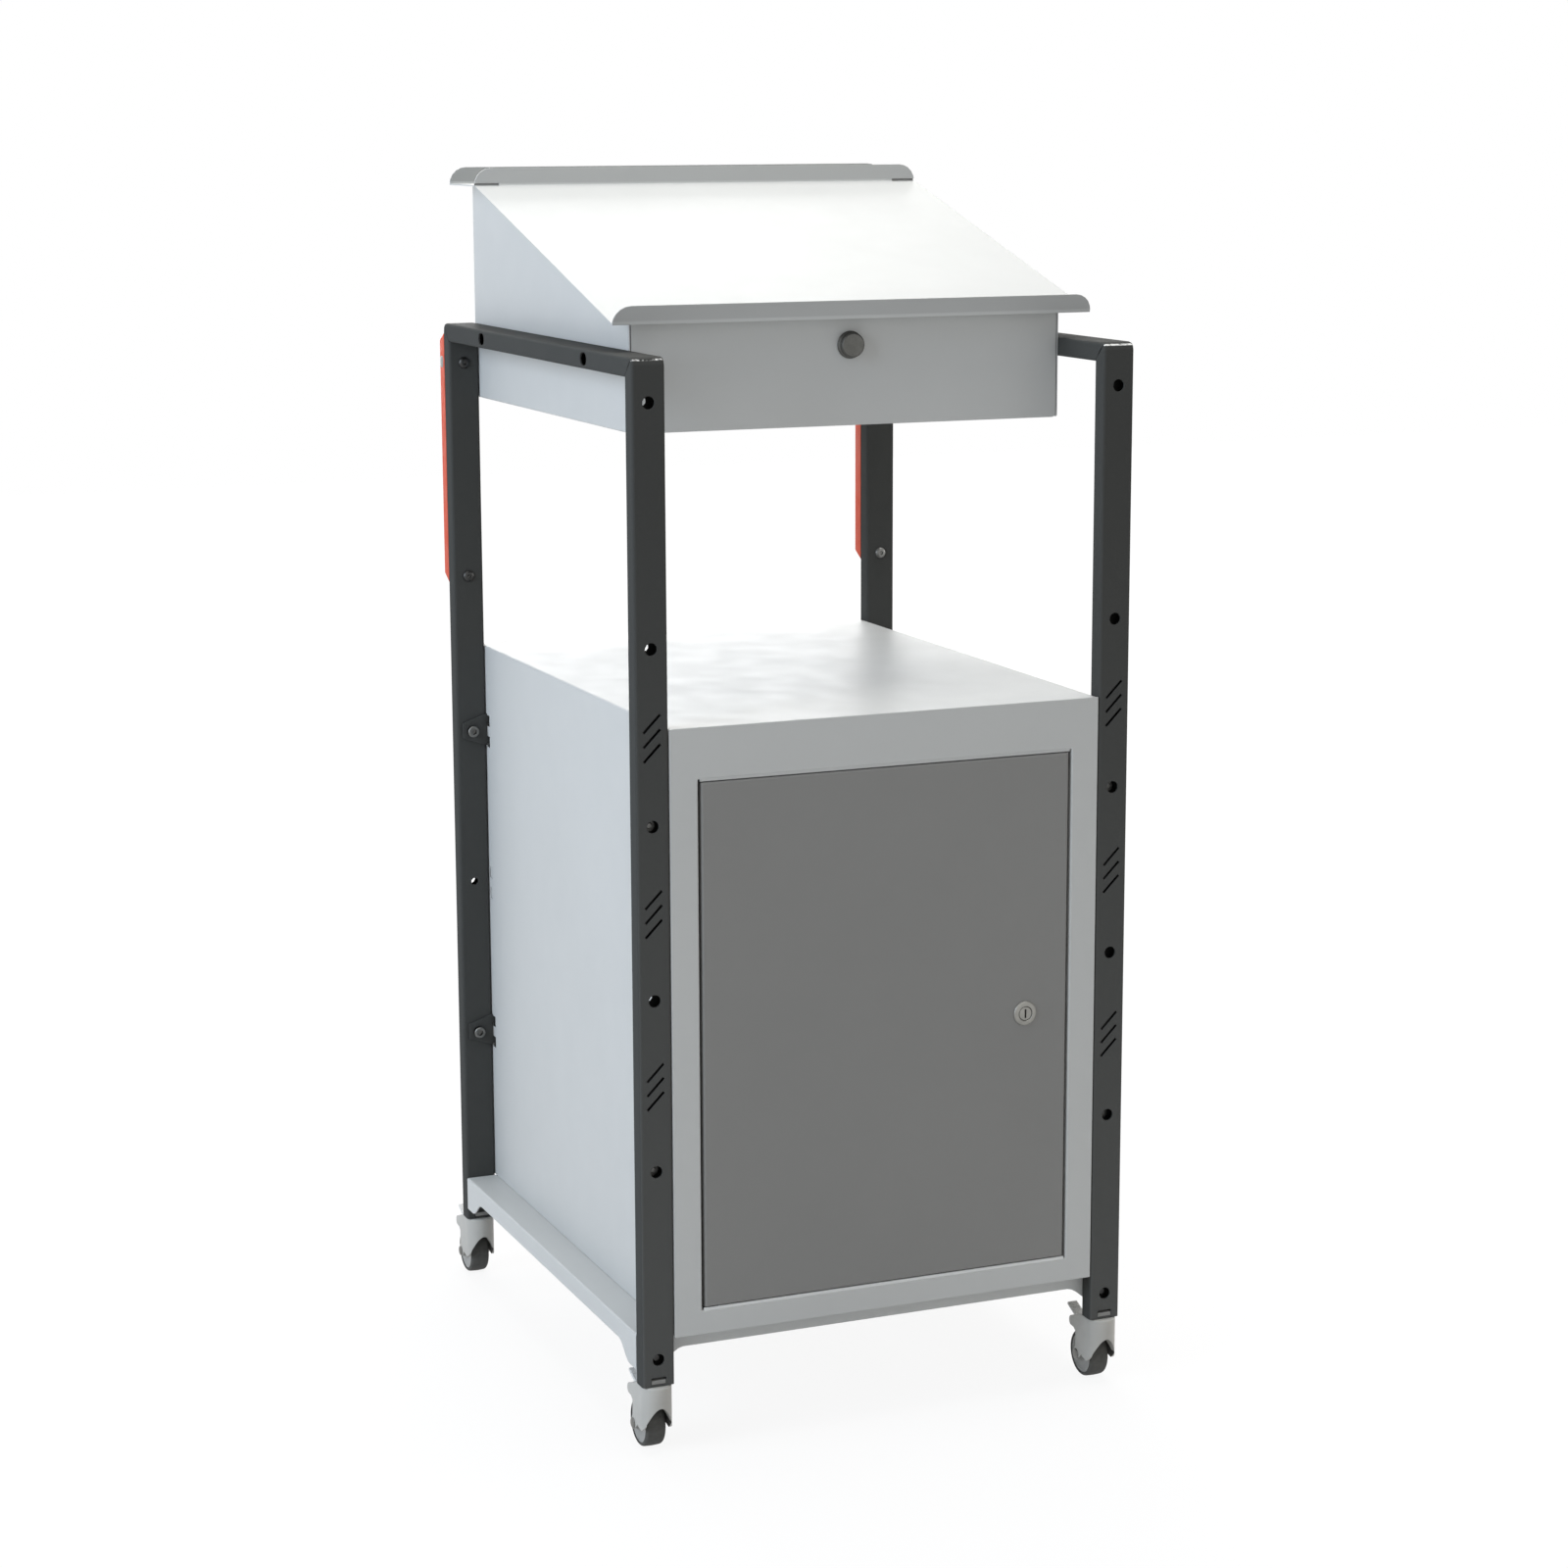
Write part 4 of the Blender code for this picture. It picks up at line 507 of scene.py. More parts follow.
def addPiece(name, mesh, finish, body, stands=(), soft=0.0, sharp=edgeLook["sharp"], shade=None):
    if isinstance(mesh, bmesh.types.BMesh):
        mesh = meshFrom(mesh, name)
    if shade:
        marks = mesh.attributes.new("shade", "FLOAT", "FACE")
        for polygon in mesh.polygons:
            marks.data[polygon.index].value = shade(polygon.center, polygon.normal)
    mesh.shade_smooth()
    mesh.set_sharp_from_angle(angle=math.radians(sharp))
    mesh.materials.clear()
    mesh.materials.append(finish)
    made = bpy.data.objects.new(name, mesh)
    scene.collection.objects.link(made)
    if soft:
        edge = made.modifiers.new("softEdges", "BEVEL")
        edge.width = soft
        edge.segments = edgeLook["softSteps"]
        edge.limit_method = "ANGLE"
        edge.angle_limit = math.radians(edgeLook["softAngle"])
        edge.harden_normals = True
    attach(made, body)
    if stands:
        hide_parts(*stands)
    return made


def keepFlat(made):
    # the large faces rule the shading, so bent edges don't tint the sheet beside them
    steady = made.modifiers.new("flatSheets", "WEIGHTED_NORMAL")
    steady.weight = 100
    steady.keep_sharp = True


def middle(node):
    low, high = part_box(node)
    return (low + high) / 2


# bolts

core = 0.2 * mm  # turned forms close on a small flat at their axis
boltSizes = {
    "capHead": {
        "radius": 6.5 * mm, "height": 6.0 * mm, "socket": 3.2 * mm, "depth": 4.2 * mm,
        "foot": 0.4 * mm, "chamfer": 0.7 * mm},
    "buttonHead": {
        "radius": 6.6 * mm, "height": 3.6 * mm, "socket": 2.2 * mm, "depth": 2.2 * mm,
        "dome": (0, 12, 25, 38, 50, 60)},
}
socketLook = {"mouth": 1.3, "point": 0.4 * mm, "cone": 0.5 * mm, "sideTurn": 0.3}


def shadedBoltSides(centre, normal):
    # painted shade: the sides and the socket of a bolt along y are painted dark, its end face is not
    return 1.0 if abs(normal.y) < socketLook["sideTurn"] else 0.0


def hexagon(flat):
    # the radius at an angle, from half the width across the flats
    return lambda angle: flat / math.cos((angle + math.pi / 6) % (math.pi / 3) - math.pi / 6)


def boltHead(kind, spot, direction):
    size = boltSizes[kind]
    radius, height, socket = size["radius"], size["height"], size["socket"]
    if kind == "capHead":
        foot, chamfer = size["foot"], size["chamfer"]
        rim = [(radius - foot, 0), (radius, foot), (radius, height - chamfer), (radius - chamfer, height)]
    else:
        dome = [math.radians(angle) for angle in size["dome"]]
        rim = [(radius * math.cos(angle), height * math.sin(angle)) for angle in dome]
    top = rim[-1][1]
    floor = top - size["depth"]
    rim += [(socket * socketLook["mouth"], top), (hexagon(socket), top), (hexagon(socket), floor)]
    rim.append((socketLook["point"], floor - socketLook["cone"]))
    return turned(rim, spot, direction, 36)


nutSize = {
    "flat": 6.2 * mm, "height": 5.5 * mm, "chamfer": 0.8 * mm, "hole": 3.2 * mm, "ease": 0.5 * mm,
    "stud": 1.6 * mm, "studGap": 0.1 * mm, "studTip": 0.6 * mm}


def hexNut(spot, direction):
    size = nutSize
    flat, height, hole, ease, tip = (size[key] for key in ("flat", "height", "hole", "ease", "studTip"))
    end = height + size["stud"]
    profile = [(hexagon(flat), 0), (hexagon(flat), height - size["chamfer"]), (flat, height)]
    profile += [(hole + ease, height), (hole, height - ease), (hole - size["studGap"], end - tip)]
    profile += [(hole - tip, end), (core, end)]
    return turned(profile, spot, direction, 48)


studSize = {
    "radius": 4 * mm, "reach": 11 * mm, "tip": 0.7 * mm,
    "pitch": 1.25 * mm, "crest": 0.6, "root": 0.6 * mm, "rootGap": 0.1 * mm,
    "nut": 6.4 * mm, "nutRadius": 6.6 * mm, "nutEase": 0.6 * mm, "nutGap": 0.2 * mm}


def threadedStud(spot, direction):
    size = studSize
    radius, reach, pitch = size["radius"], size["reach"], size["pitch"]
    nut, wide, ease = size["nut"], size["nutRadius"], size["nutEase"]
    profile = [(wide, 0), (wide, nut - ease), (wide - ease, nut), (radius + size["nutGap"], nut)]
    for turn in range(int((reach - nut) / pitch)):
        start = nut + turn * pitch
        profile += [(radius - size["root"], start + size["rootGap"]), (radius, start + size["crest"] * pitch)]
    profile += [(radius - size["tip"], reach), (core, reach)]
    return turned(profile, spot, direction, 30)


tubeX = (frameLow.x + frameHigh.x) / 2
holeDrops = {"desk": 44 * mm, "grip": 286 * mm}
footHole = frameLow.z + 28.5 * mm
bracketGap = 0.3 * mm
boltCount = 0
for side, sideName in ((-1, "left"), (1, "right")):
    x = -side * tubeX
    for endName, facing in (("front", 1), ("rear", -1)):
        for level in ("upper", "lower"):
            place = f"{endName}_{sideName}_{level}"
            low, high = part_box(f"hook_bracket_{place}")
            height = (low.z + high.z) / 2
            plate = high.y if facing > 0 else low.y
            head = boltHead("capHead", (x, plate, height), (0, facing, 0))
            addPiece(f"hook_bolt_{place}", head, boltGrey, "frame", shade=shadedBoltSides)
            # its nut shows in the access hole on the other side of the upright
            wall = plate - facing * ((high.y - low.y) + bracketGap + tubeWall)
            nut = hexNut((x, wall, height), (0, -facing, 0))
            addPiece(f"hook_nut_{place}", nut, boltGrey, "frame")
            boltCount += 2
        # the tray's bolts end inside the tube, behind the access holes at its feet
        wall = (frameLow.y + tubeDepth - tubeWall) if facing > 0 else (frameHigh.y - tubeDepth + tubeWall)
        stud = threadedStud((x, wall, footHole), (0, -facing, 0))
        addPiece(f"tray_bolt_{endName}_{sideName}", stud, boltBlack, "frame")
        boltCount += 1
    # painted light: the right-hand grip bolts take the lighter grey, as if lit, the left ones black
    gripBoltPaintedLight = boltBlack if side < 0 else boltGrey
    for drop in ("desk", "grip"):
        spot = (x, frameHigh.y - tubeDepth, frameTop - holeDrops[drop])
        head = boltHead("buttonHead", spot, (0, -1, 0))
        addPiece(f"grip_bolt_{sideName}_{drop}", head, gripBoltPaintedLight, "frame")
        boltCount += 1
print("bolts made:", boltCount)


# face frame and door, folded from sheet

sheetLook = {
    "frameSheet": 1.5 * mm, "frameFold": 2.2 * mm, "shellFold": 2.8 * mm, "plateEdge": 0.6 * mm,
    "doorSheet": 1.2 * mm, "doorFold": 2.4 * mm, "gap": 3 * mm, "corner": 0.8 * mm, "leastCorner": 0.2 * mm,
    "pinHole": 3.3 * mm, "lockHole": 9.8 * mm, "boreReach": 6 * mm,
}
quarter = [math.radians(angle) for angle in (0, 15, 30, 45, 60, 75, 90)]


def border(low, high, grow, along):
    # a rectangle in x and z with eased corners, grown by a margin, at a place in y
    corner = max(sheetLook["corner"] + grow, sheetLook["leastCorner"])
    left, down = (edge - grow + corner for edge in low)
    right, up = (edge + grow - corner for edge in high)
    outline = []
    for x, z, start in ((right, down, -90), (right, up, 0), (left, up, 90), (left, down, 180)):
        outline += arcPoints((x, z), corner, start, start + 90, 3)
    return [(x, along, z) for x, z in outline]


def pinBores(bottom, top):
    # cutters for the door's pins, through a lower and an upper flange
    size, reach = sheetLook["pinHole"], sheetLook["boreReach"]
    cuts = []
    for edge, pin in ((bottom, "door_pin_bottom"), (top, "door_pin_top")):
        hinge = middle(pin)
        bore = turned([(size, edge - reach), (size, edge + reach)], (hinge.x, hinge.y, 0), upward, 24)
        cuts.append(("DIFFERENCE", bore))
    return cuts


def faceFrame():
    low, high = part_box("cabinet_front_frame")
    doorLow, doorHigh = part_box("door_panel")
    look = sheetLook
    sheet, fold, edge, gap, inset = (
        look[key] for key in ("frameSheet", "frameFold", "plateEdge", "gap", "shellFold"))
    face, back, rim, inner = low.y, low.y + sheet, high.y, fold - sheet
    plate = ((low.x, low.z), (high.x, high.z))
    opening = ((doorLow.x - gap, doorLow.z - gap), (doorHigh.x + gap, doorHigh.z + gap))
    sleeve = ((low.x + inset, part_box("cabinet_shell")[0].z), (high.x - inset, high.z - inset))
    rings = [border(*plate, 0, back)]
    for bend in quarter[::2]:
        rings.append(border(*plate, -edge * (1 - math.cos(bend)), face + edge * (1 - math.sin(bend))))
    for bend in quarter:
        rings.append(border(*opening, fold * (1 - math.sin(bend)), face + fold * (1 - math.cos(bend))))
    rings += [border(*opening, 0, rim), border(*opening, sheet, rim)]
    for bend in quarter[::3]:
        grow, depth = sheet + inner * (1 - math.cos(bend)), inner * (1 - math.sin(bend))
        rings.append(border(*opening, grow, back + depth))
    rings += [border(*sleeve, -sheet, back), border(*sleeve, -sheet, rim)]
    rings += [border(*sleeve, 0, rim), border(*sleeve, 0, back)]
    rings.append(rings[0])
    mesh = carved(ringMesh(rings, False), *pinBores(opening[0][1], opening[1][1]))
    made = addPiece("face_frame_folded", mesh, finishes["body_paint"], "frame",
                    ("cabinet_front_frame",))
    keepFlat(made)


def foldedDoor():
    low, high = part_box("door_panel")
    look = sheetLook
    face, rim, sheet, fold = low.y, high.y, look["doorSheet"], look["doorFold"]
    pan = ((low.x, low.z), (high.x, high.z))
    inner = fold - sheet
    rings = []
    for bend in quarter[::2]:
        inward, depth = inner * (1 - math.sin(bend)), inner * (1 - math.cos(bend))
        rings.append(border(*pan, -sheet - inward, face + sheet + depth))
    rings += [border(*pan, -sheet, rim), border(*pan, 0, rim)]
    for bend in quarter:
        rings.append(border(*pan, -fold * (1 - math.cos(bend)), face + fold * (1 - math.sin(bend))))
    lock = middle("lock_body")
    hole = [(look["lockHole"], -look["boreReach"]), (look["lockHole"], look["boreReach"])]
    lockBore = turned(hole, (lock.x, face, lock.z), (0, 1, 0), 40)
    mesh = carved(ringMesh(rings), *pinBores(low.z, high.z), ("DIFFERENCE", lockBore))
    keepFlat(addPiece("door_folded", mesh, finishes["door_paint"], "door", ("door_panel",)))


stopLook = {
    "upper": {"front": 0.7 * mm, "room": 0.8 * mm, "ease": 0.35 * mm, "paint": finishes["body_paint"]},
    # the lower strip is painted lighter than the body: a painted highlight along the bottom of the door gap
    "lower": {"front": 0.2 * mm, "room": 0.4 * mm, "ease": 1.1 * mm, "paint": powderFinish("stripHighlightPaint", {
        **bodyPaint, "colour": shaded(bodyPaint["colour"], 1.3)})},
    "back": 1.7 * mm, "bite": 0.9 * mm, "over": 1 * mm, "round": 0.3,
}


def stopStrips():
    # thin strips on the opening's upper and lower flanges narrow the gaps over and under the door
    low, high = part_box("door_panel")
    look = stopLook
    back = low.y + look["back"]
    for name, edge, out in (("upper", high.z, 1), ("lower", low.z, -1)):
        front, ease = low.y + look[name]["front"], look[name]["ease"]
        root = edge + out * (sheetLook["gap"] + look["bite"])
        tip = edge + out * look[name]["room"]
        bend = look["round"] * ease
        section = [(front, root), (front, tip + out * ease), (front + bend, tip + out * bend)]
        section += [(front + ease, tip), (back, tip), (back, root)]
        strip = slab(section, low.x - look["over"], high.x + look["over"])
        addPiece(f"door_stop_{name}", strip, look[name]["paint"], "frame")


faceFrame()
foldedDoor()
stopStrips()
print("door and face frame made")


# dark strips behind the relief slots at the ends of the near lip: painted shade seen through the slots

slotLook = {
    "length": 30 * mm, "inset": 0.4 * mm, "sheet": 0.6 * mm, "behind": 0.5 * mm, "floor": 1.6 * mm,
    "rise": 3 * mm, "foot": 1 * mm, "ease": 0.2 * mm}


def slotShadeStrip(sideName, end, inward):
    look = slotLook
    near = topHigh.y + look["behind"]
    far = near + look["sheet"]
    floor = trayLow.z + look["floor"]
    foot, top = floor - look["foot"], floor + look["rise"]
    shoulder = top - look["ease"]
    section = [(near, foot), (far, foot), (far, shoulder), ((near + far) / 2, top), (near, shoulder)]
    ends = sorted((end + inward * look["inset"], end + inward * look["length"]))
    addPiece(f"slot_shade_strip_{sideName}", slab(section, *ends), finishes["door_paint"], "frame")


slotShadeStrip("left", topLow.x, 1)
slotShadeStrip("right", topHigh.x, -1)


# covers inside the cabinet, behind the spare hook slots half way up

coverLook = {
    "sheet": 0.8 * mm, "wall": 1.2 * mm, "gap": 0.3 * mm, "height": 46 * mm, "length": 22 * mm,
    "ease": 0.3 * mm, "inset": 4 * mm}


def slotCover(endName, sideName):
    look = coverLook
    upper = middle(f"hook_bracket_{endName}_{sideName}_upper")
    lower = middle(f"hook_bracket_{endName}_{sideName}_lower")
    shellLow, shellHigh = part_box("cabinet_shell")
    inward, wall = (1, shellLow.x) if sideName == "left" else (-1, shellHigh.x)
    face = wall + inward * (look["wall"] + look["gap"])
    across = upper.y + (look["inset"] if endName == "front" else -look["inset"])
    height = (upper.z + lower.z) / 2
    rings = []
    for depth, grow in ((0, -look["ease"]), (look["ease"], 0), (look["sheet"], 0)):
        halfY, halfZ = look["length"] / 2 + grow, look["height"] / 2 + grow
        outline = ((-halfY, -halfZ), (halfY, -halfZ), (halfY, halfZ), (-halfY, halfZ))
        rings.append([(face + inward * depth, across + y, height + z) for y, z in outline])
    cover = ringMesh(rings)
    addPiece(f"slot_cover_{endName}_{sideName}", cover, finishes["body_paint"], "frame")


for sideName in ("left", "right"):
    for endName in ("front", "rear"):
        slotCover(endName, sideName)


# drawer knob and door lock

knobLook = {
    "flange": 14.2 * mm, "waist": 11.0 * mm, "head": 12.5 * mm, "face": 11.2 * mm, "length": 9.6 * mm,
    "ease": 0.4 * mm, "dish": 0.35 * mm, "point": 0.1 * mm, "aside": 0.9 * mm, "lift": 0.8 * mm,
    "shade": 0.35, "shadeFrom": 0.25, "shadeTo": 0.66}


def drawerKnob():
    look = knobLook
    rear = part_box("drawer_knob")[1].y
    centre = middle("drawer_knob")
    flange, waist, head, face, length = (look[key] for key in ("flange", "waist", "head", "face", "length"))
    profile = [(flange - look["ease"], 0), (flange, look["ease"]), (flange, 0.1 * length)]
    profile += [(flange - 0.6 * mm, 0.16 * length), (waist + 1.2 * mm, 0.25 * length)]
    profile += [(waist, 0.36 * length), (waist, 0.52 * length), (head - 0.5 * mm, 0.64 * length)]
    profile += [(head, 0.7 * length), (head, 0.88 * length), (face + 0.3 * mm, length - 0.2 * mm)]
    # the end face is a shallow dish
    profile += [(face, length), (0.5 * face, length - 0.25 * mm), (look["point"], length - look["dish"])]

    # painted shade on the knob's waist
    def inWaist(spot, normal):
        along = (rear - spot.y) / length
        return look["shade"] if look["shadeFrom"] < along < look["shadeTo"] else 0.0

    spot = (centre.x + look["aside"], rear, centre.z + look["lift"])
    made = turned(profile, spot, (0, -1, 0), 72)
    addPiece("drawer_knob_turned", made, finishes["knob_chrome"], "drawer",
             ("drawer_knob",), shade=inWaist)


lockLook = {
    "collar": 0.4 * mm, "barrel": 9.4 * mm, "boreDepth": 14 * mm, "plugGap": 0.35 * mm,
    "plugRadius": 7.4 * mm, "plugSet": 0.4 * mm, "plugEase": 0.5 * mm, "dish": 5.6 * mm,
    "tail": 4 * mm, "tailLength": 2.4 * mm,
    "slotLength": 9.6 * mm, "slotWidth": 2.0 * mm, "slotDepth": 5.0 * mm}


def doorLock():
    look = lockLook
    low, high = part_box("lock_body")
    centre = middle("lock_body")
    rim = (high.x - low.x) / 2 + look["collar"]
    length, barrel = high.y - low.y, look["barrel"]
    bore = look["plugRadius"] + look["plugGap"]
    bezel = [(bore, look["boreDepth"]), (bore, 0.5 * mm), (bore + 0.4 * mm, 0), (rim - 2.6 * mm, 0)]
    bezel += [(rim - 1.2 * mm, 0.4 * mm), (rim - 0.3 * mm, 1.2 * mm), (rim, 1.9 * mm), (rim, 2.25 * mm)]
    bezel += [(barrel, 2.3 * mm), (barrel, length), (bore, length)]
    bezel.append(bezel[0])
    ring = turned(bezel, (centre.x, low.y, centre.z), (0, 1, 0), 64, False)
    addPiece("lock_bezel", ring, finishes["lock_chrome"], "door", ("lock_body",))

    def keySlot(angle):
        across = max(1e-9, abs(math.cos(angle)))
        up = max(1e-9, abs(math.sin(angle)))
        return min(look["slotWidth"] / 2 / across, look["slotLength"] / 2 / up)

    plugLow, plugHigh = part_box("lock_plug")
    depth = plugHigh.y - plugLow.y
    radius, tail, face = look["plugRadius"], look["tail"], look["plugSet"]
    shoulder = depth - look["tailLength"]
    plug = [(tail, depth), (tail, shoulder), (radius, shoulder - 0.2 * mm), (radius, face + look["plugEase"])]
    plug += [(radius - look["plugEase"], face), (look["dish"], face), (keySlot, face)]
    plug.append((keySlot, face + look["slotDepth"]))
    made = turned(plug, (centre.x, plugLow.y, centre.z), (0, 1, 0), 96)
    addPiece("lock_plug_turned", made, finishes["lock_chrome"], "lock", ("lock_plug",))


drawerKnob()
doorLock()
print("knob and lock made")


# rear grips

gripLook = {
    "taper": 10 * mm, "round": 3.2 * mm, "roundSteps": 5, "root": 1 * mm, "sharp": 50,
    "capWidth": 10 * mm, "capHeight": 13 * mm, "capSide": 0.6, "capEnd": 0.5,
    "capRings": ((0, -1.0 * mm), (0, 0.25 * mm), (0.35 * mm, 0.5 * mm))}  # inset and place of each


def rearGrip(sideName):
    look = gripLook
    low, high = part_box(f"rear_grip_{sideName}")
    taper = look["taper"]
    outline = [(low.y, low.z), (high.y, low.z + taper), (high.y, high.z - taper), (low.y, high.z)]
    bar = slab(outline, low.x, high.x)
    proud = [edge for edge in bar.edges if max(vert.co.y for vert in edge.verts) > low.y + look["root"]]
    bmesh.ops.bevel(bar, geom=proud, offset=look["round"], segments=look["roundSteps"], profile=0.5,
                    affect="EDGES")
    addPiece(f"grip_{sideName}", bar, finishes["grip_plastic"], "frame",
             (f"rear_grip_{sideName}",), sharp=look["sharp"])
    # the cap of the upper nut stands a little out of the grip's outer side
    outer, out = (low.x, -1) if sideName == "left" else (high.x, 1)
    centreY, centreZ = (low.y + high.y) / 2, frameTop - holeDrops["desk"]
    wide, tall = look["capWidth"] / 2, look["capHeight"] / 2
    side, end = look["capSide"] * tall, look["capEnd"] * wide
    outline = [(-wide, -side), (-end, -tall), (end, -tall), (wide, -side)]
    outline += [(-y, -z) for y, z in outline]
    rings = []
    for inset, along in look["capRings"]:
        shrink = 1 - inset / wide
        rings.append([(outer + out * along, centreY + shrink * y, centreZ + shrink * z) for y, z in outline])
    addPiece(f"grip_cap_{sideName}", ringMesh(rings), capSteel, "frame")


for sideName in ("left", "right"):
    rearGrip(sideName)
print("grips made")


# casters

tyreLook = {
    "band": 4.2 * mm, "shoulder": 3.6 * mm, "shoulderTurn": 84, "crown": 0.35 * mm, "crownShare": 0.55,
    "seat": 0.9 * mm, "lipRise": 0.6 * mm, "lip": 0.4 * mm, "sharp": 45}


def casterTyre(place):
    look = tyreLook
    low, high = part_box(f"caster_tyre_{place}")
    centre = middle(f"caster_tyre_{place}")
    reach = centre.z - low.z
    half = (high.x - low.x) / 2
    inner = reach - look["band"]
    crown, shoulder = look["crown"], look["shoulder"]
    bend = arcPoints((half - shoulder, reach - crown - shoulder), shoulder, 0, look["shoulderTurn"], 8)
    right = [(inner, half - look["seat"]), (inner + look["lipRise"], half - look["lip"])]
    right += [(radius, along) for along, radius in bend]
    for step in (3, 2, 1, 0):
        right.append((reach - crown * (step / 4) ** 2, half * look["crownShare"] * step / 4))
    left = [(radius, -along) for radius, along in reversed(right[:-1])]
    made = turned(right + left + [right[0]], centre, (1, 0, 0), 72, False)
    addPiece(f"tyre_{place}", made, finishes["tyre_rubber"], f"wheel_{place}",
             (f"caster_tyre_{place}",), sharp=look["sharp"])


hubLook = {
    "bore": 4.3 * mm, "boss": 2.6 * mm, "ease": 0.6 * mm, "web": 8.8 * mm, "face": 9.8 * mm,
    "rimWidth": 1.6 * mm, "gap": 0.2 * mm}


def casterHub(place):
    look = hubLook
    low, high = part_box(f"caster_hub_{place}")
    centre = middle(f"caster_hub_{place}")
    half = (high.x - low.x) / 2
    rim = centre.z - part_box(f"caster_tyre_{place}")[0].z - tyreLook["band"] - look["gap"]
    ease, web, face = look["ease"], look["web"], look["face"]
    boss, lip = look["bore"] + look["boss"], rim - look["rimWidth"]
    right = [(look["bore"], half), (boss, half), (boss + ease, half - ease)]
    right += [(boss + 2 * ease, web + ease), (boss + 2 * mm, web)]
    right += [(lip - 3 * ease, web), (lip - 2 * ease, web + 0.3 * mm), (lip - ease, face - 0.2 * mm)]
    right += [(lip, face), (rim, face)]
    left = [(radius, -along) for radius, along in reversed(right)]
    made = turned(right + left + [right[0]], centre, (1, 0, 0), 72, False)
    addPiece(f"hub_{place}", made, finishes["hub_plastic"], f"wheel_{place}",
             (f"caster_hub_{place}",))


axleLook = {"pin": 3.9 * mm, "head": 5.9 * mm, "headThick": 1.5 * mm, "flat": 2.4 * mm}


def casterAxle(place):
    look = axleLook
    low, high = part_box(f"caster_axle_{place}")
    centre = middle(f"caster_axle_{place}")
    half = (high.x - low.x) / 2
    head, under = look["head"], half - look["headThick"]
    end = [(core, half), (look["flat"], half), (head - 1.3 * mm, half - 0.35 * mm)]
    end += [(head - 0.2 * mm, half - 0.9 * mm), (head, under), (look["pin"], under)]
    profile = end + [(radius, -along) for radius, along in reversed(end)]
    made = turned(profile, centre, (1, 0, 0), 40)
    addPiece(f"axle_{place}", made, boltGrey, f"caster_{place}", (f"caster_axle_{place}",))


forkLook = {
    "stemGap": 0.5 * mm, "topBack": 12 * mm, "pivotBack": 34 * mm, "pivotDrop": 15 * mm, "ear": 6 * mm,
    "notch": 5 * mm, "cheekBack": 25 * mm, "boss": 6.5 * mm, "gapBack": 11.5 * mm, "gapDrop": 47 * mm,
    "tipAhead": 1 * mm, "tipDrop": 49.5 * mm, "edgeDrop": 27 * mm, "edgeSag": 1.8 * mm, "edgeSteps": 12,
    "rim": 2.4 * mm, "rimBends": (0, 0.4, 0.8, 1.2, math.pi / 2), "soft": 0.5 * mm,
    "cheek": 3 * mm, "wheelRoom": 2 * mm, "archDrop": 22.5 * mm, "archFall": 18 * mm, "archSteps": 12,
    "slotHalf": 6.7 * mm, "slotAhead": 7 * mm, "over": 5 * mm, "behind": 10 * mm,
}


def forkOutline(swivel, wheel, front, top):
    # from the side: flat top, ear with the lever's pivot, boss round the axle, tip, curved front edge
    look = forkLook
    foot, ear, boss = top + look["stemGap"], look["ear"], look["boss"]
    pivot = (swivel.y + look["pivotBack"], foot - look["pivotDrop"])
    back = swivel.y + look["cheekBack"]
    outline = [(front, top), (swivel.y + look["topBack"], top), *arcPoints(pivot, ear, 75, -60, 14)]
    outline += [(pivot[0] - look["notch"], pivot[1] - ear), (back, pivot[1] - 1.5 * ear)]
    outline += [(back, wheel.z + 1.5 * boss), *arcPoints((wheel.y, wheel.z), boss, 50, -150, 18)]
    outline.append((swivel.y + look["gapBack"], foot - look["gapDrop"]))
    tip = (swivel.y - look["tipAhead"], foot - look["tipDrop"])
    edge = (front, foot - look["edgeDrop"])
    bend = [(start + end) / 2 - 2 * look["edgeSag"] for start, end in zip(tip, edge)]
    for step in range(look["edgeSteps"] + 1):
        share = step / look["edgeSteps"]
        weights = ((1 - share) ** 2, 2 * share * (1 - share), share ** 2)
        outline.append([sum(w * at for w, at in zip(weights, places)) for places in zip(tip, bend, edge)])
    return outline


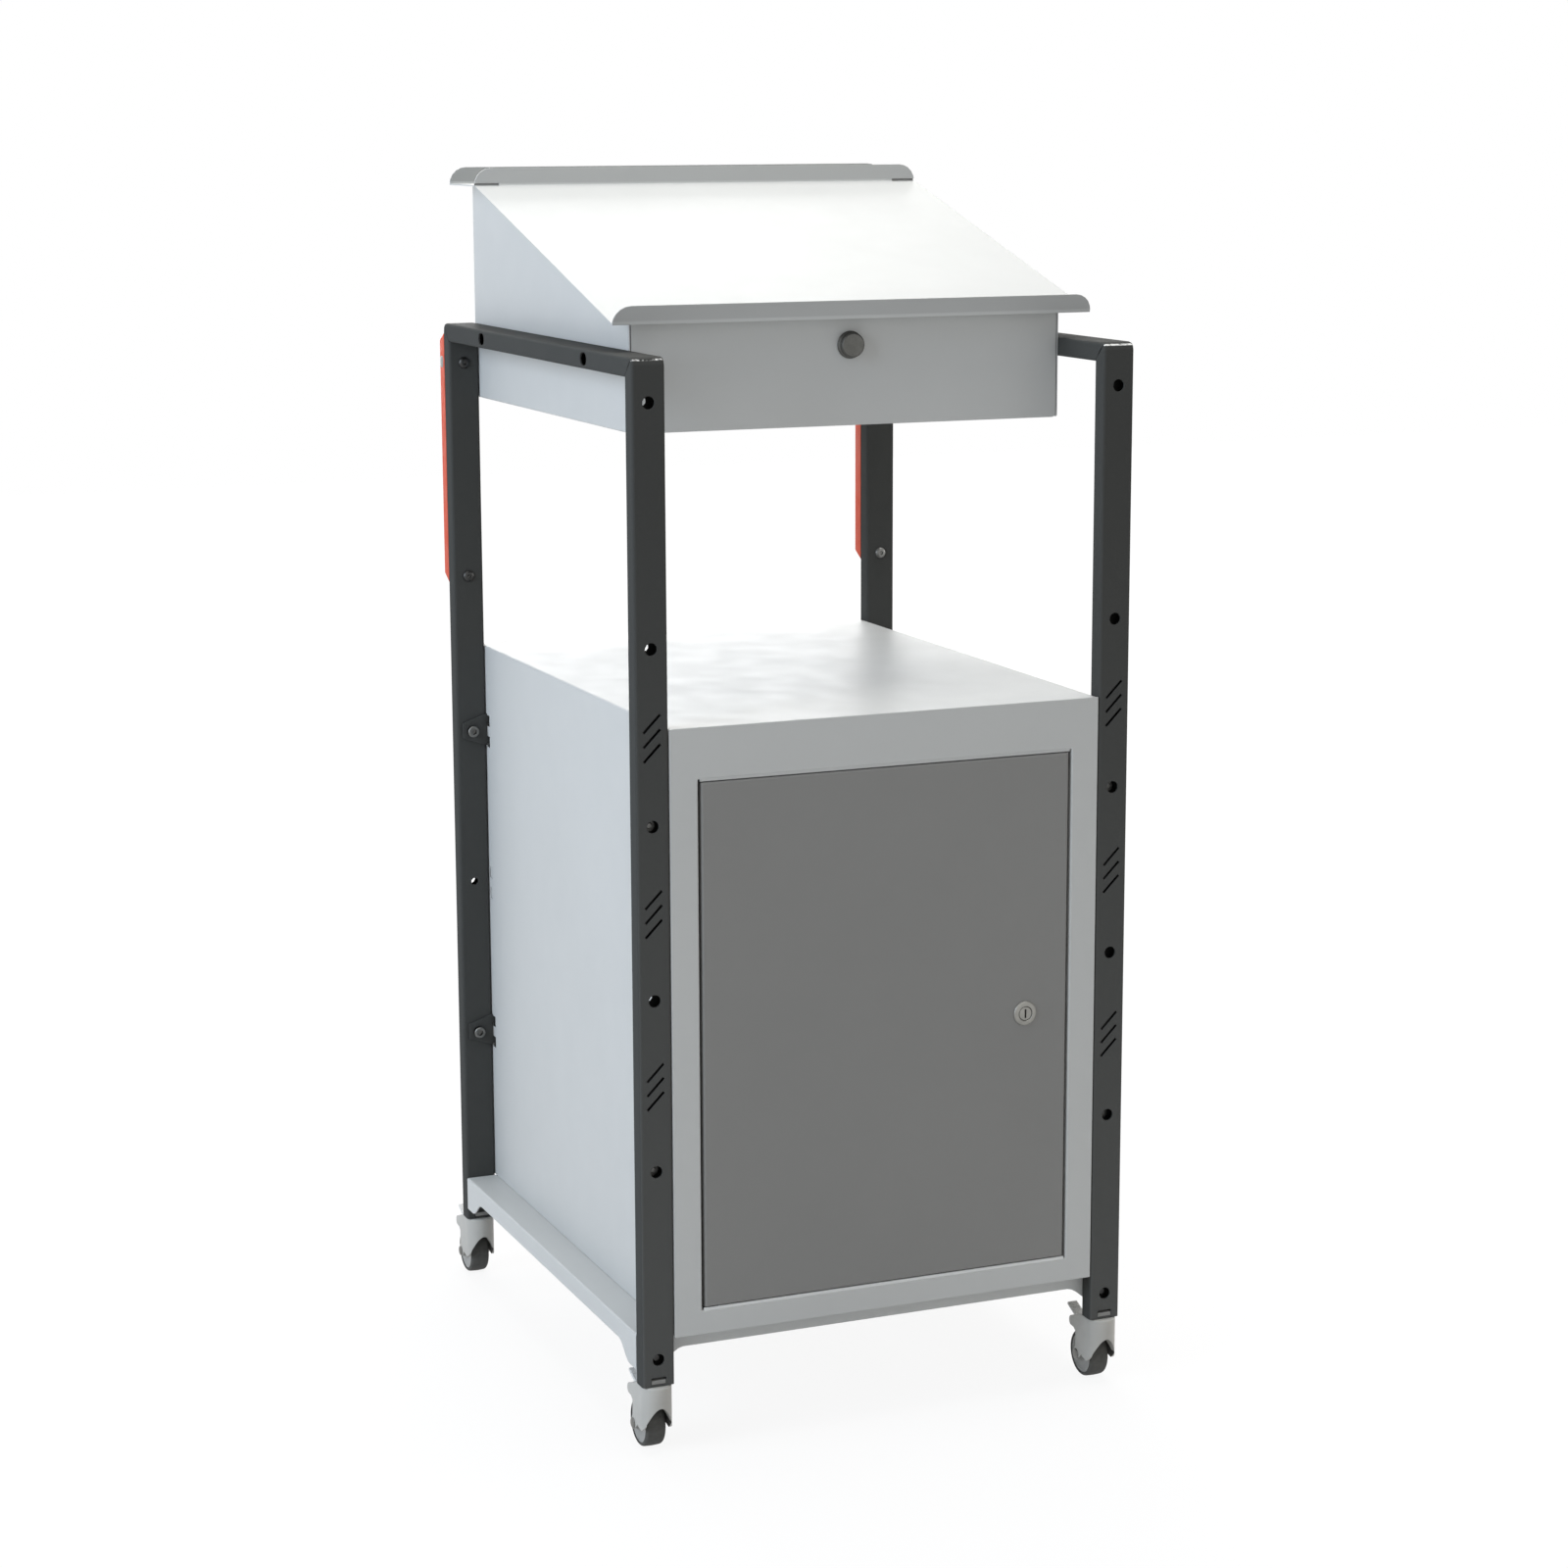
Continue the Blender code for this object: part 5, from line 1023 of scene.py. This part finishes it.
def casterFork(place):
    look = forkLook
    low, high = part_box(f"caster_fork_{place}")
    swivel = middle(f"caster_plug_{place}")
    wheel = middle(f"caster_tyre_{place}")
    half = (high.x - low.x) / 2
    rim, over = look["rim"], look["over"]
    top, front, behind = high.z, swivel.y - half, high.y + look["behind"]
    body = slab(forkOutline(swivel, wheel, front, top), swivel.x - half, swivel.x + half)
    # the round front, with its upper edge well rounded
    levels = [(0, 0)]
    for bend in look["rimBends"]:
        levels.append((rim * (1 - math.cos(bend)), top - rim * (1 - math.sin(bend))))
    rings = []
    for inset, height in levels:
        plan = [(swivel.x + x, swivel.y + y) for x, y in arcPoints((0, 0), half - inset, 180, 360, 40)]
        plan += [(swivel.x + half - inset, behind), (swivel.x - half + inset, behind)]
        rings.append([(x, y, height) for x, y in plan])
    room = half - look["cheek"]
    crown = top + look["stemGap"] - look["archDrop"]
    arch = [(swivel.x - room, -over), (swivel.x + room, -over)]
    for step in range(2 * look["archSteps"] + 1):
        share = 1 - step / look["archSteps"]
        arch.append((swivel.x + room * share, crown - look["archFall"] * share * share))
    frontArch = slab(arch, front - over, wheel.y, "Y")
    reach = wheel.z + look["wheelRoom"]
    cavity = turned([(reach, -room), (reach, room)], wheel, (1, 0, 0), 72)
    slotLeft, slotRight = swivel.x - look["slotHalf"], swivel.x + look["slotHalf"]
    slotFront = swivel.y + look["pivotBack"] - look["slotAhead"]
    leverRoom = [(slotLeft, slotFront), (slotRight, slotFront), (slotRight, behind), (slotLeft, behind)]
    slot = slab(leverRoom, wheel.z, top + over, "Z")
    cuts = [("DIFFERENCE", tool) for tool in (frontArch, cavity, slot)]
    mesh = carved(body, ("INTERSECT", ringMesh(rings)), *cuts)

    def inside(spot, normal):
        # painted shade on the cheeks' inner faces and the hood over the wheel
        aside = abs(spot.x - swivel.x)
        away = math.hypot(spot.y - wheel.y, spot.z - wheel.z)
        onCheek = abs(aside - room) < 0.1 * mm and abs(normal.x) > 0.9
        onHood = abs(away - reach) < 0.4 * mm and aside < room
        return 1.0 if onCheek or onHood else 0.0

    addPiece(f"fork_{place}", mesh, finishes["fork_plastic"], f"caster_{place}",
             (f"caster_fork_{place}",), look["soft"], shade=inside)


pedalLook = {
    "half": 5.5 * mm, "soft": 0.6 * mm, "tipLow": 7.2 * mm, "tipHigh": 10 * mm, "tipEase": 1.2 * mm,
    "heel": (11.3 * mm, 2.5 * mm), "treads": 3, "treadStart": 2.6, "treadPitch": 3.4, "treadHalf": 4.4 * mm,
    # in mm from the pivot, and in mm along and above the lever's top
    "foot": ((-3.5, 2.5), (-3.5, -3), (4, -4.5), (8, -10.5), (11, -10), (12.5, -1.5)),
    "treadSection": ((-0.8, -0.4), (0.8, -0.4), (0.4, 0.5), (-0.4, 0.5)),
}


def casterPedal(place):
    look = pedalLook
    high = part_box(f"caster_pedal_{place}")[1]
    swivel = middle(f"caster_plug_{place}")
    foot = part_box(f"caster_fork_{place}")[1].z + forkLook["stemGap"]
    pivotY, pivotZ = swivel.y + forkLook["pivotBack"], foot - forkLook["pivotDrop"]
    half, heel, reach = look["half"], look["heel"], high.y - pivotY
    tip = (reach - look["tipEase"], look["tipHigh"])
    outline = [(y * mm, z * mm) for y, z in look["foot"]] + [(reach, look["tipLow"]), tip, heel]
    lever = slab([(pivotY + y, pivotZ + z) for y, z in outline], swivel.x - half, swivel.x + half)
    # treads across the top of the lever
    run = Vector((0, tip[0] - heel[0], tip[1] - heel[1])).normalized()
    up = Vector((0, -run.z, run.y))
    end = Vector((swivel.x, pivotY + tip[0], pivotZ + tip[1]))
    for tread in range(look["treads"]):
        spot = end - run * (look["treadStart"] + look["treadPitch"] * tread) * mm
        ridge = [spot + run * along * mm + up * rise * mm for along, rise in look["treadSection"]]
        shifts = (Vector((-look["treadHalf"], 0, 0)), Vector((look["treadHalf"], 0, 0)))
        addBar(lever, [[corner + shift for corner in ridge] for shift in shifts])
    addPiece(f"pedal_{place}", lever, pedalPlastic, f"brake_{place}",
             (f"caster_pedal_{place}",), look["soft"])


for place in corners:
    casterTyre(place)
    casterHub(place)
    casterAxle(place)
    casterFork(place)
    casterPedal(place)
print("casters made")


# floor, light and camera

stageLook = {
    "reach": 9.0, "floorAlbedo": 0.68, "glow": 0.86, "glowLevel": 1.05, "near": 0.9, "far": 1.9,
    "ambient": 0.255}


def paleFloor():
    reach = stageLook["reach"]
    ends = ((-reach, -reach, 0), (reach, -reach, 0), (reach, reach, 0), (-reach, reach, 0))
    bm = bmesh.new()
    bm.faces.new([bm.verts.new(spot) for spot in ends])
    floor = bpy.data.objects.new("floor", meshFrom(bm, "floor"))
    scene.collection.objects.link(floor)
    finish = bpy.data.materials.new("paleFloor")
    finish.use_nodes = True
    tree = finish.node_tree
    tree.nodes.clear()
    out = tree.nodes.new("ShaderNodeOutputMaterial")
    mix = tree.nodes.new("ShaderNodeMixShader")
    matte = tree.nodes.new("ShaderNodeBsdfDiffuse")
    matte.inputs["Color"].default_value = (stageLook["floorAlbedo"],) * 3 + (1.0,)
    glow = tree.nodes.new("ShaderNodeEmission")
    glow.inputs["Strength"].default_value = stageLook["glowLevel"]
    # the floor's own tone fades into the white backdrop away from the desk
    away = tree.nodes.new("ShaderNodeVectorMath")
    away.operation = "LENGTH"
    tree.links.new(objectSpots(tree), away.inputs[0])
    fade = remap(tree, away.outputs["Value"], stageLook["near"], stageLook["far"], stageLook["glow"], 1.0)
    tree.links.new(arithmetic(tree, "MULTIPLY", seenDirectly(tree), fade), mix.inputs["Fac"])
    tree.links.new(matte.outputs["BSDF"], mix.inputs[1])
    tree.links.new(glow.outputs["Emission"], mix.inputs[2])
    tree.links.new(mix.outputs["Shader"], out.inputs["Surface"])
    floor.data.materials.append(finish)


def seenDirectly(tree):
    # 1 for camera, mirror and see-through rays, 0 for the light that falls on the object
    path = tree.nodes.new("ShaderNodeLightPath")
    seen = arithmetic(tree, "MAXIMUM", path.outputs["Is Camera Ray"], path.outputs["Is Glossy Ray"])
    return arithmetic(tree, "MAXIMUM", seen, path.outputs["Is Transmission Ray"])


def whiteWorld():
    world = bpy.data.worlds.new("studio")
    scene.world = world
    world.use_nodes = True
    tree = world.node_tree
    tree.nodes.clear()
    out = tree.nodes.new("ShaderNodeOutputWorld")
    mix = tree.nodes.new("ShaderNodeMixShader")
    dim = tree.nodes.new("ShaderNodeBackground")
    white = tree.nodes.new("ShaderNodeBackground")
    for shader, strength in ((dim, stageLook["ambient"]), (white, 1.0)):
        shader.inputs["Color"].default_value = (1.0, 1.0, 1.0, 1.0)
        shader.inputs["Strength"].default_value = strength
    tree.links.new(seenDirectly(tree), mix.inputs["Fac"])
    tree.links.new(dim.outputs["Background"], mix.inputs[1])
    tree.links.new(white.outputs["Background"], mix.inputs[2])
    tree.links.new(mix.outputs["Shader"], out.inputs["Surface"])


lampLook = {
    "leftBank": {"spot": (-3.4, -0.7, 2.0), "size": 2.4, "power": 89, "tint": (0.75, 0.86, 1.0)},
    "overhead": {"spot": (0.3, 0.1, 3.9), "size": 2.6, "power": 98, "tint": (1.0, 0.988, 0.965)},
    "rearBank": {"spot": (0.5, 3.4, 2.0), "size": 2.6, "power": 80, "tint": (1.0, 1.0, 1.0)},
    "rightBank": {"spot": (3.2, 0.3, 1.1), "size": 1.6, "power": 24, "tint": (1.0, 0.985, 0.96)},
    "frontFill": {"spot": (0.8, -3.7, 1.5), "size": 2.2, "power": 11, "tint": (1.0, 0.97, 0.92)},
}
lampAim = Vector((0, 0, 0.75))


def softLamps():
    for name, look in lampLook.items():
        lamp = bpy.data.lights.new(name, "AREA")
        lamp.shape = "SQUARE"
        lamp.size = look["size"]
        lamp.energy = look["power"]
        lamp.color = look["tint"]
        made = bpy.data.objects.new(name, lamp)
        made.location = look["spot"]
        made.visible_camera = False
        made.rotation_euler = (lampAim - Vector(look["spot"])).to_track_quat("-Z", "Y").to_euler()
        scene.collection.objects.link(made)


cameraLook = {
    "spot": (-1.41795, -3.45564, 1.3592), "yaw": 0.394857, "pitch": 0.194057, "roll": -0.0032,
    "lens": 78.59, "sensor": 36}


def photoCamera():
    yaw, pitch, roll = cameraLook["yaw"], cameraLook["pitch"], cameraLook["roll"]
    ahead = Vector((math.sin(yaw) * math.cos(pitch), math.cos(yaw) * math.cos(pitch), -math.sin(pitch)))
    right = Vector((math.cos(yaw), -math.sin(yaw), 0))
    up = right.cross(ahead)
    tiltedRight = math.cos(roll) * right + math.sin(roll) * up
    tiltedUp = math.cos(roll) * up - math.sin(roll) * right
    data = bpy.data.cameras.new("photoCamera")
    data.sensor_fit = "HORIZONTAL"
    data.sensor_width = cameraLook["sensor"]
    data.lens = cameraLook["lens"]
    made = bpy.data.objects.new("photoCamera", data)
    axes = Matrix((tiltedRight, tiltedUp, -ahead)).transposed().to_4x4()
    made.matrix_world = Matrix.Translation(cameraLook["spot"]) @ axes
    scene.collection.objects.link(made)
    scene.camera = made


paleFloor()
whiteWorld()
softLamps()
photoCamera()
scene.view_settings.view_transform = "Standard"
print("stage set")
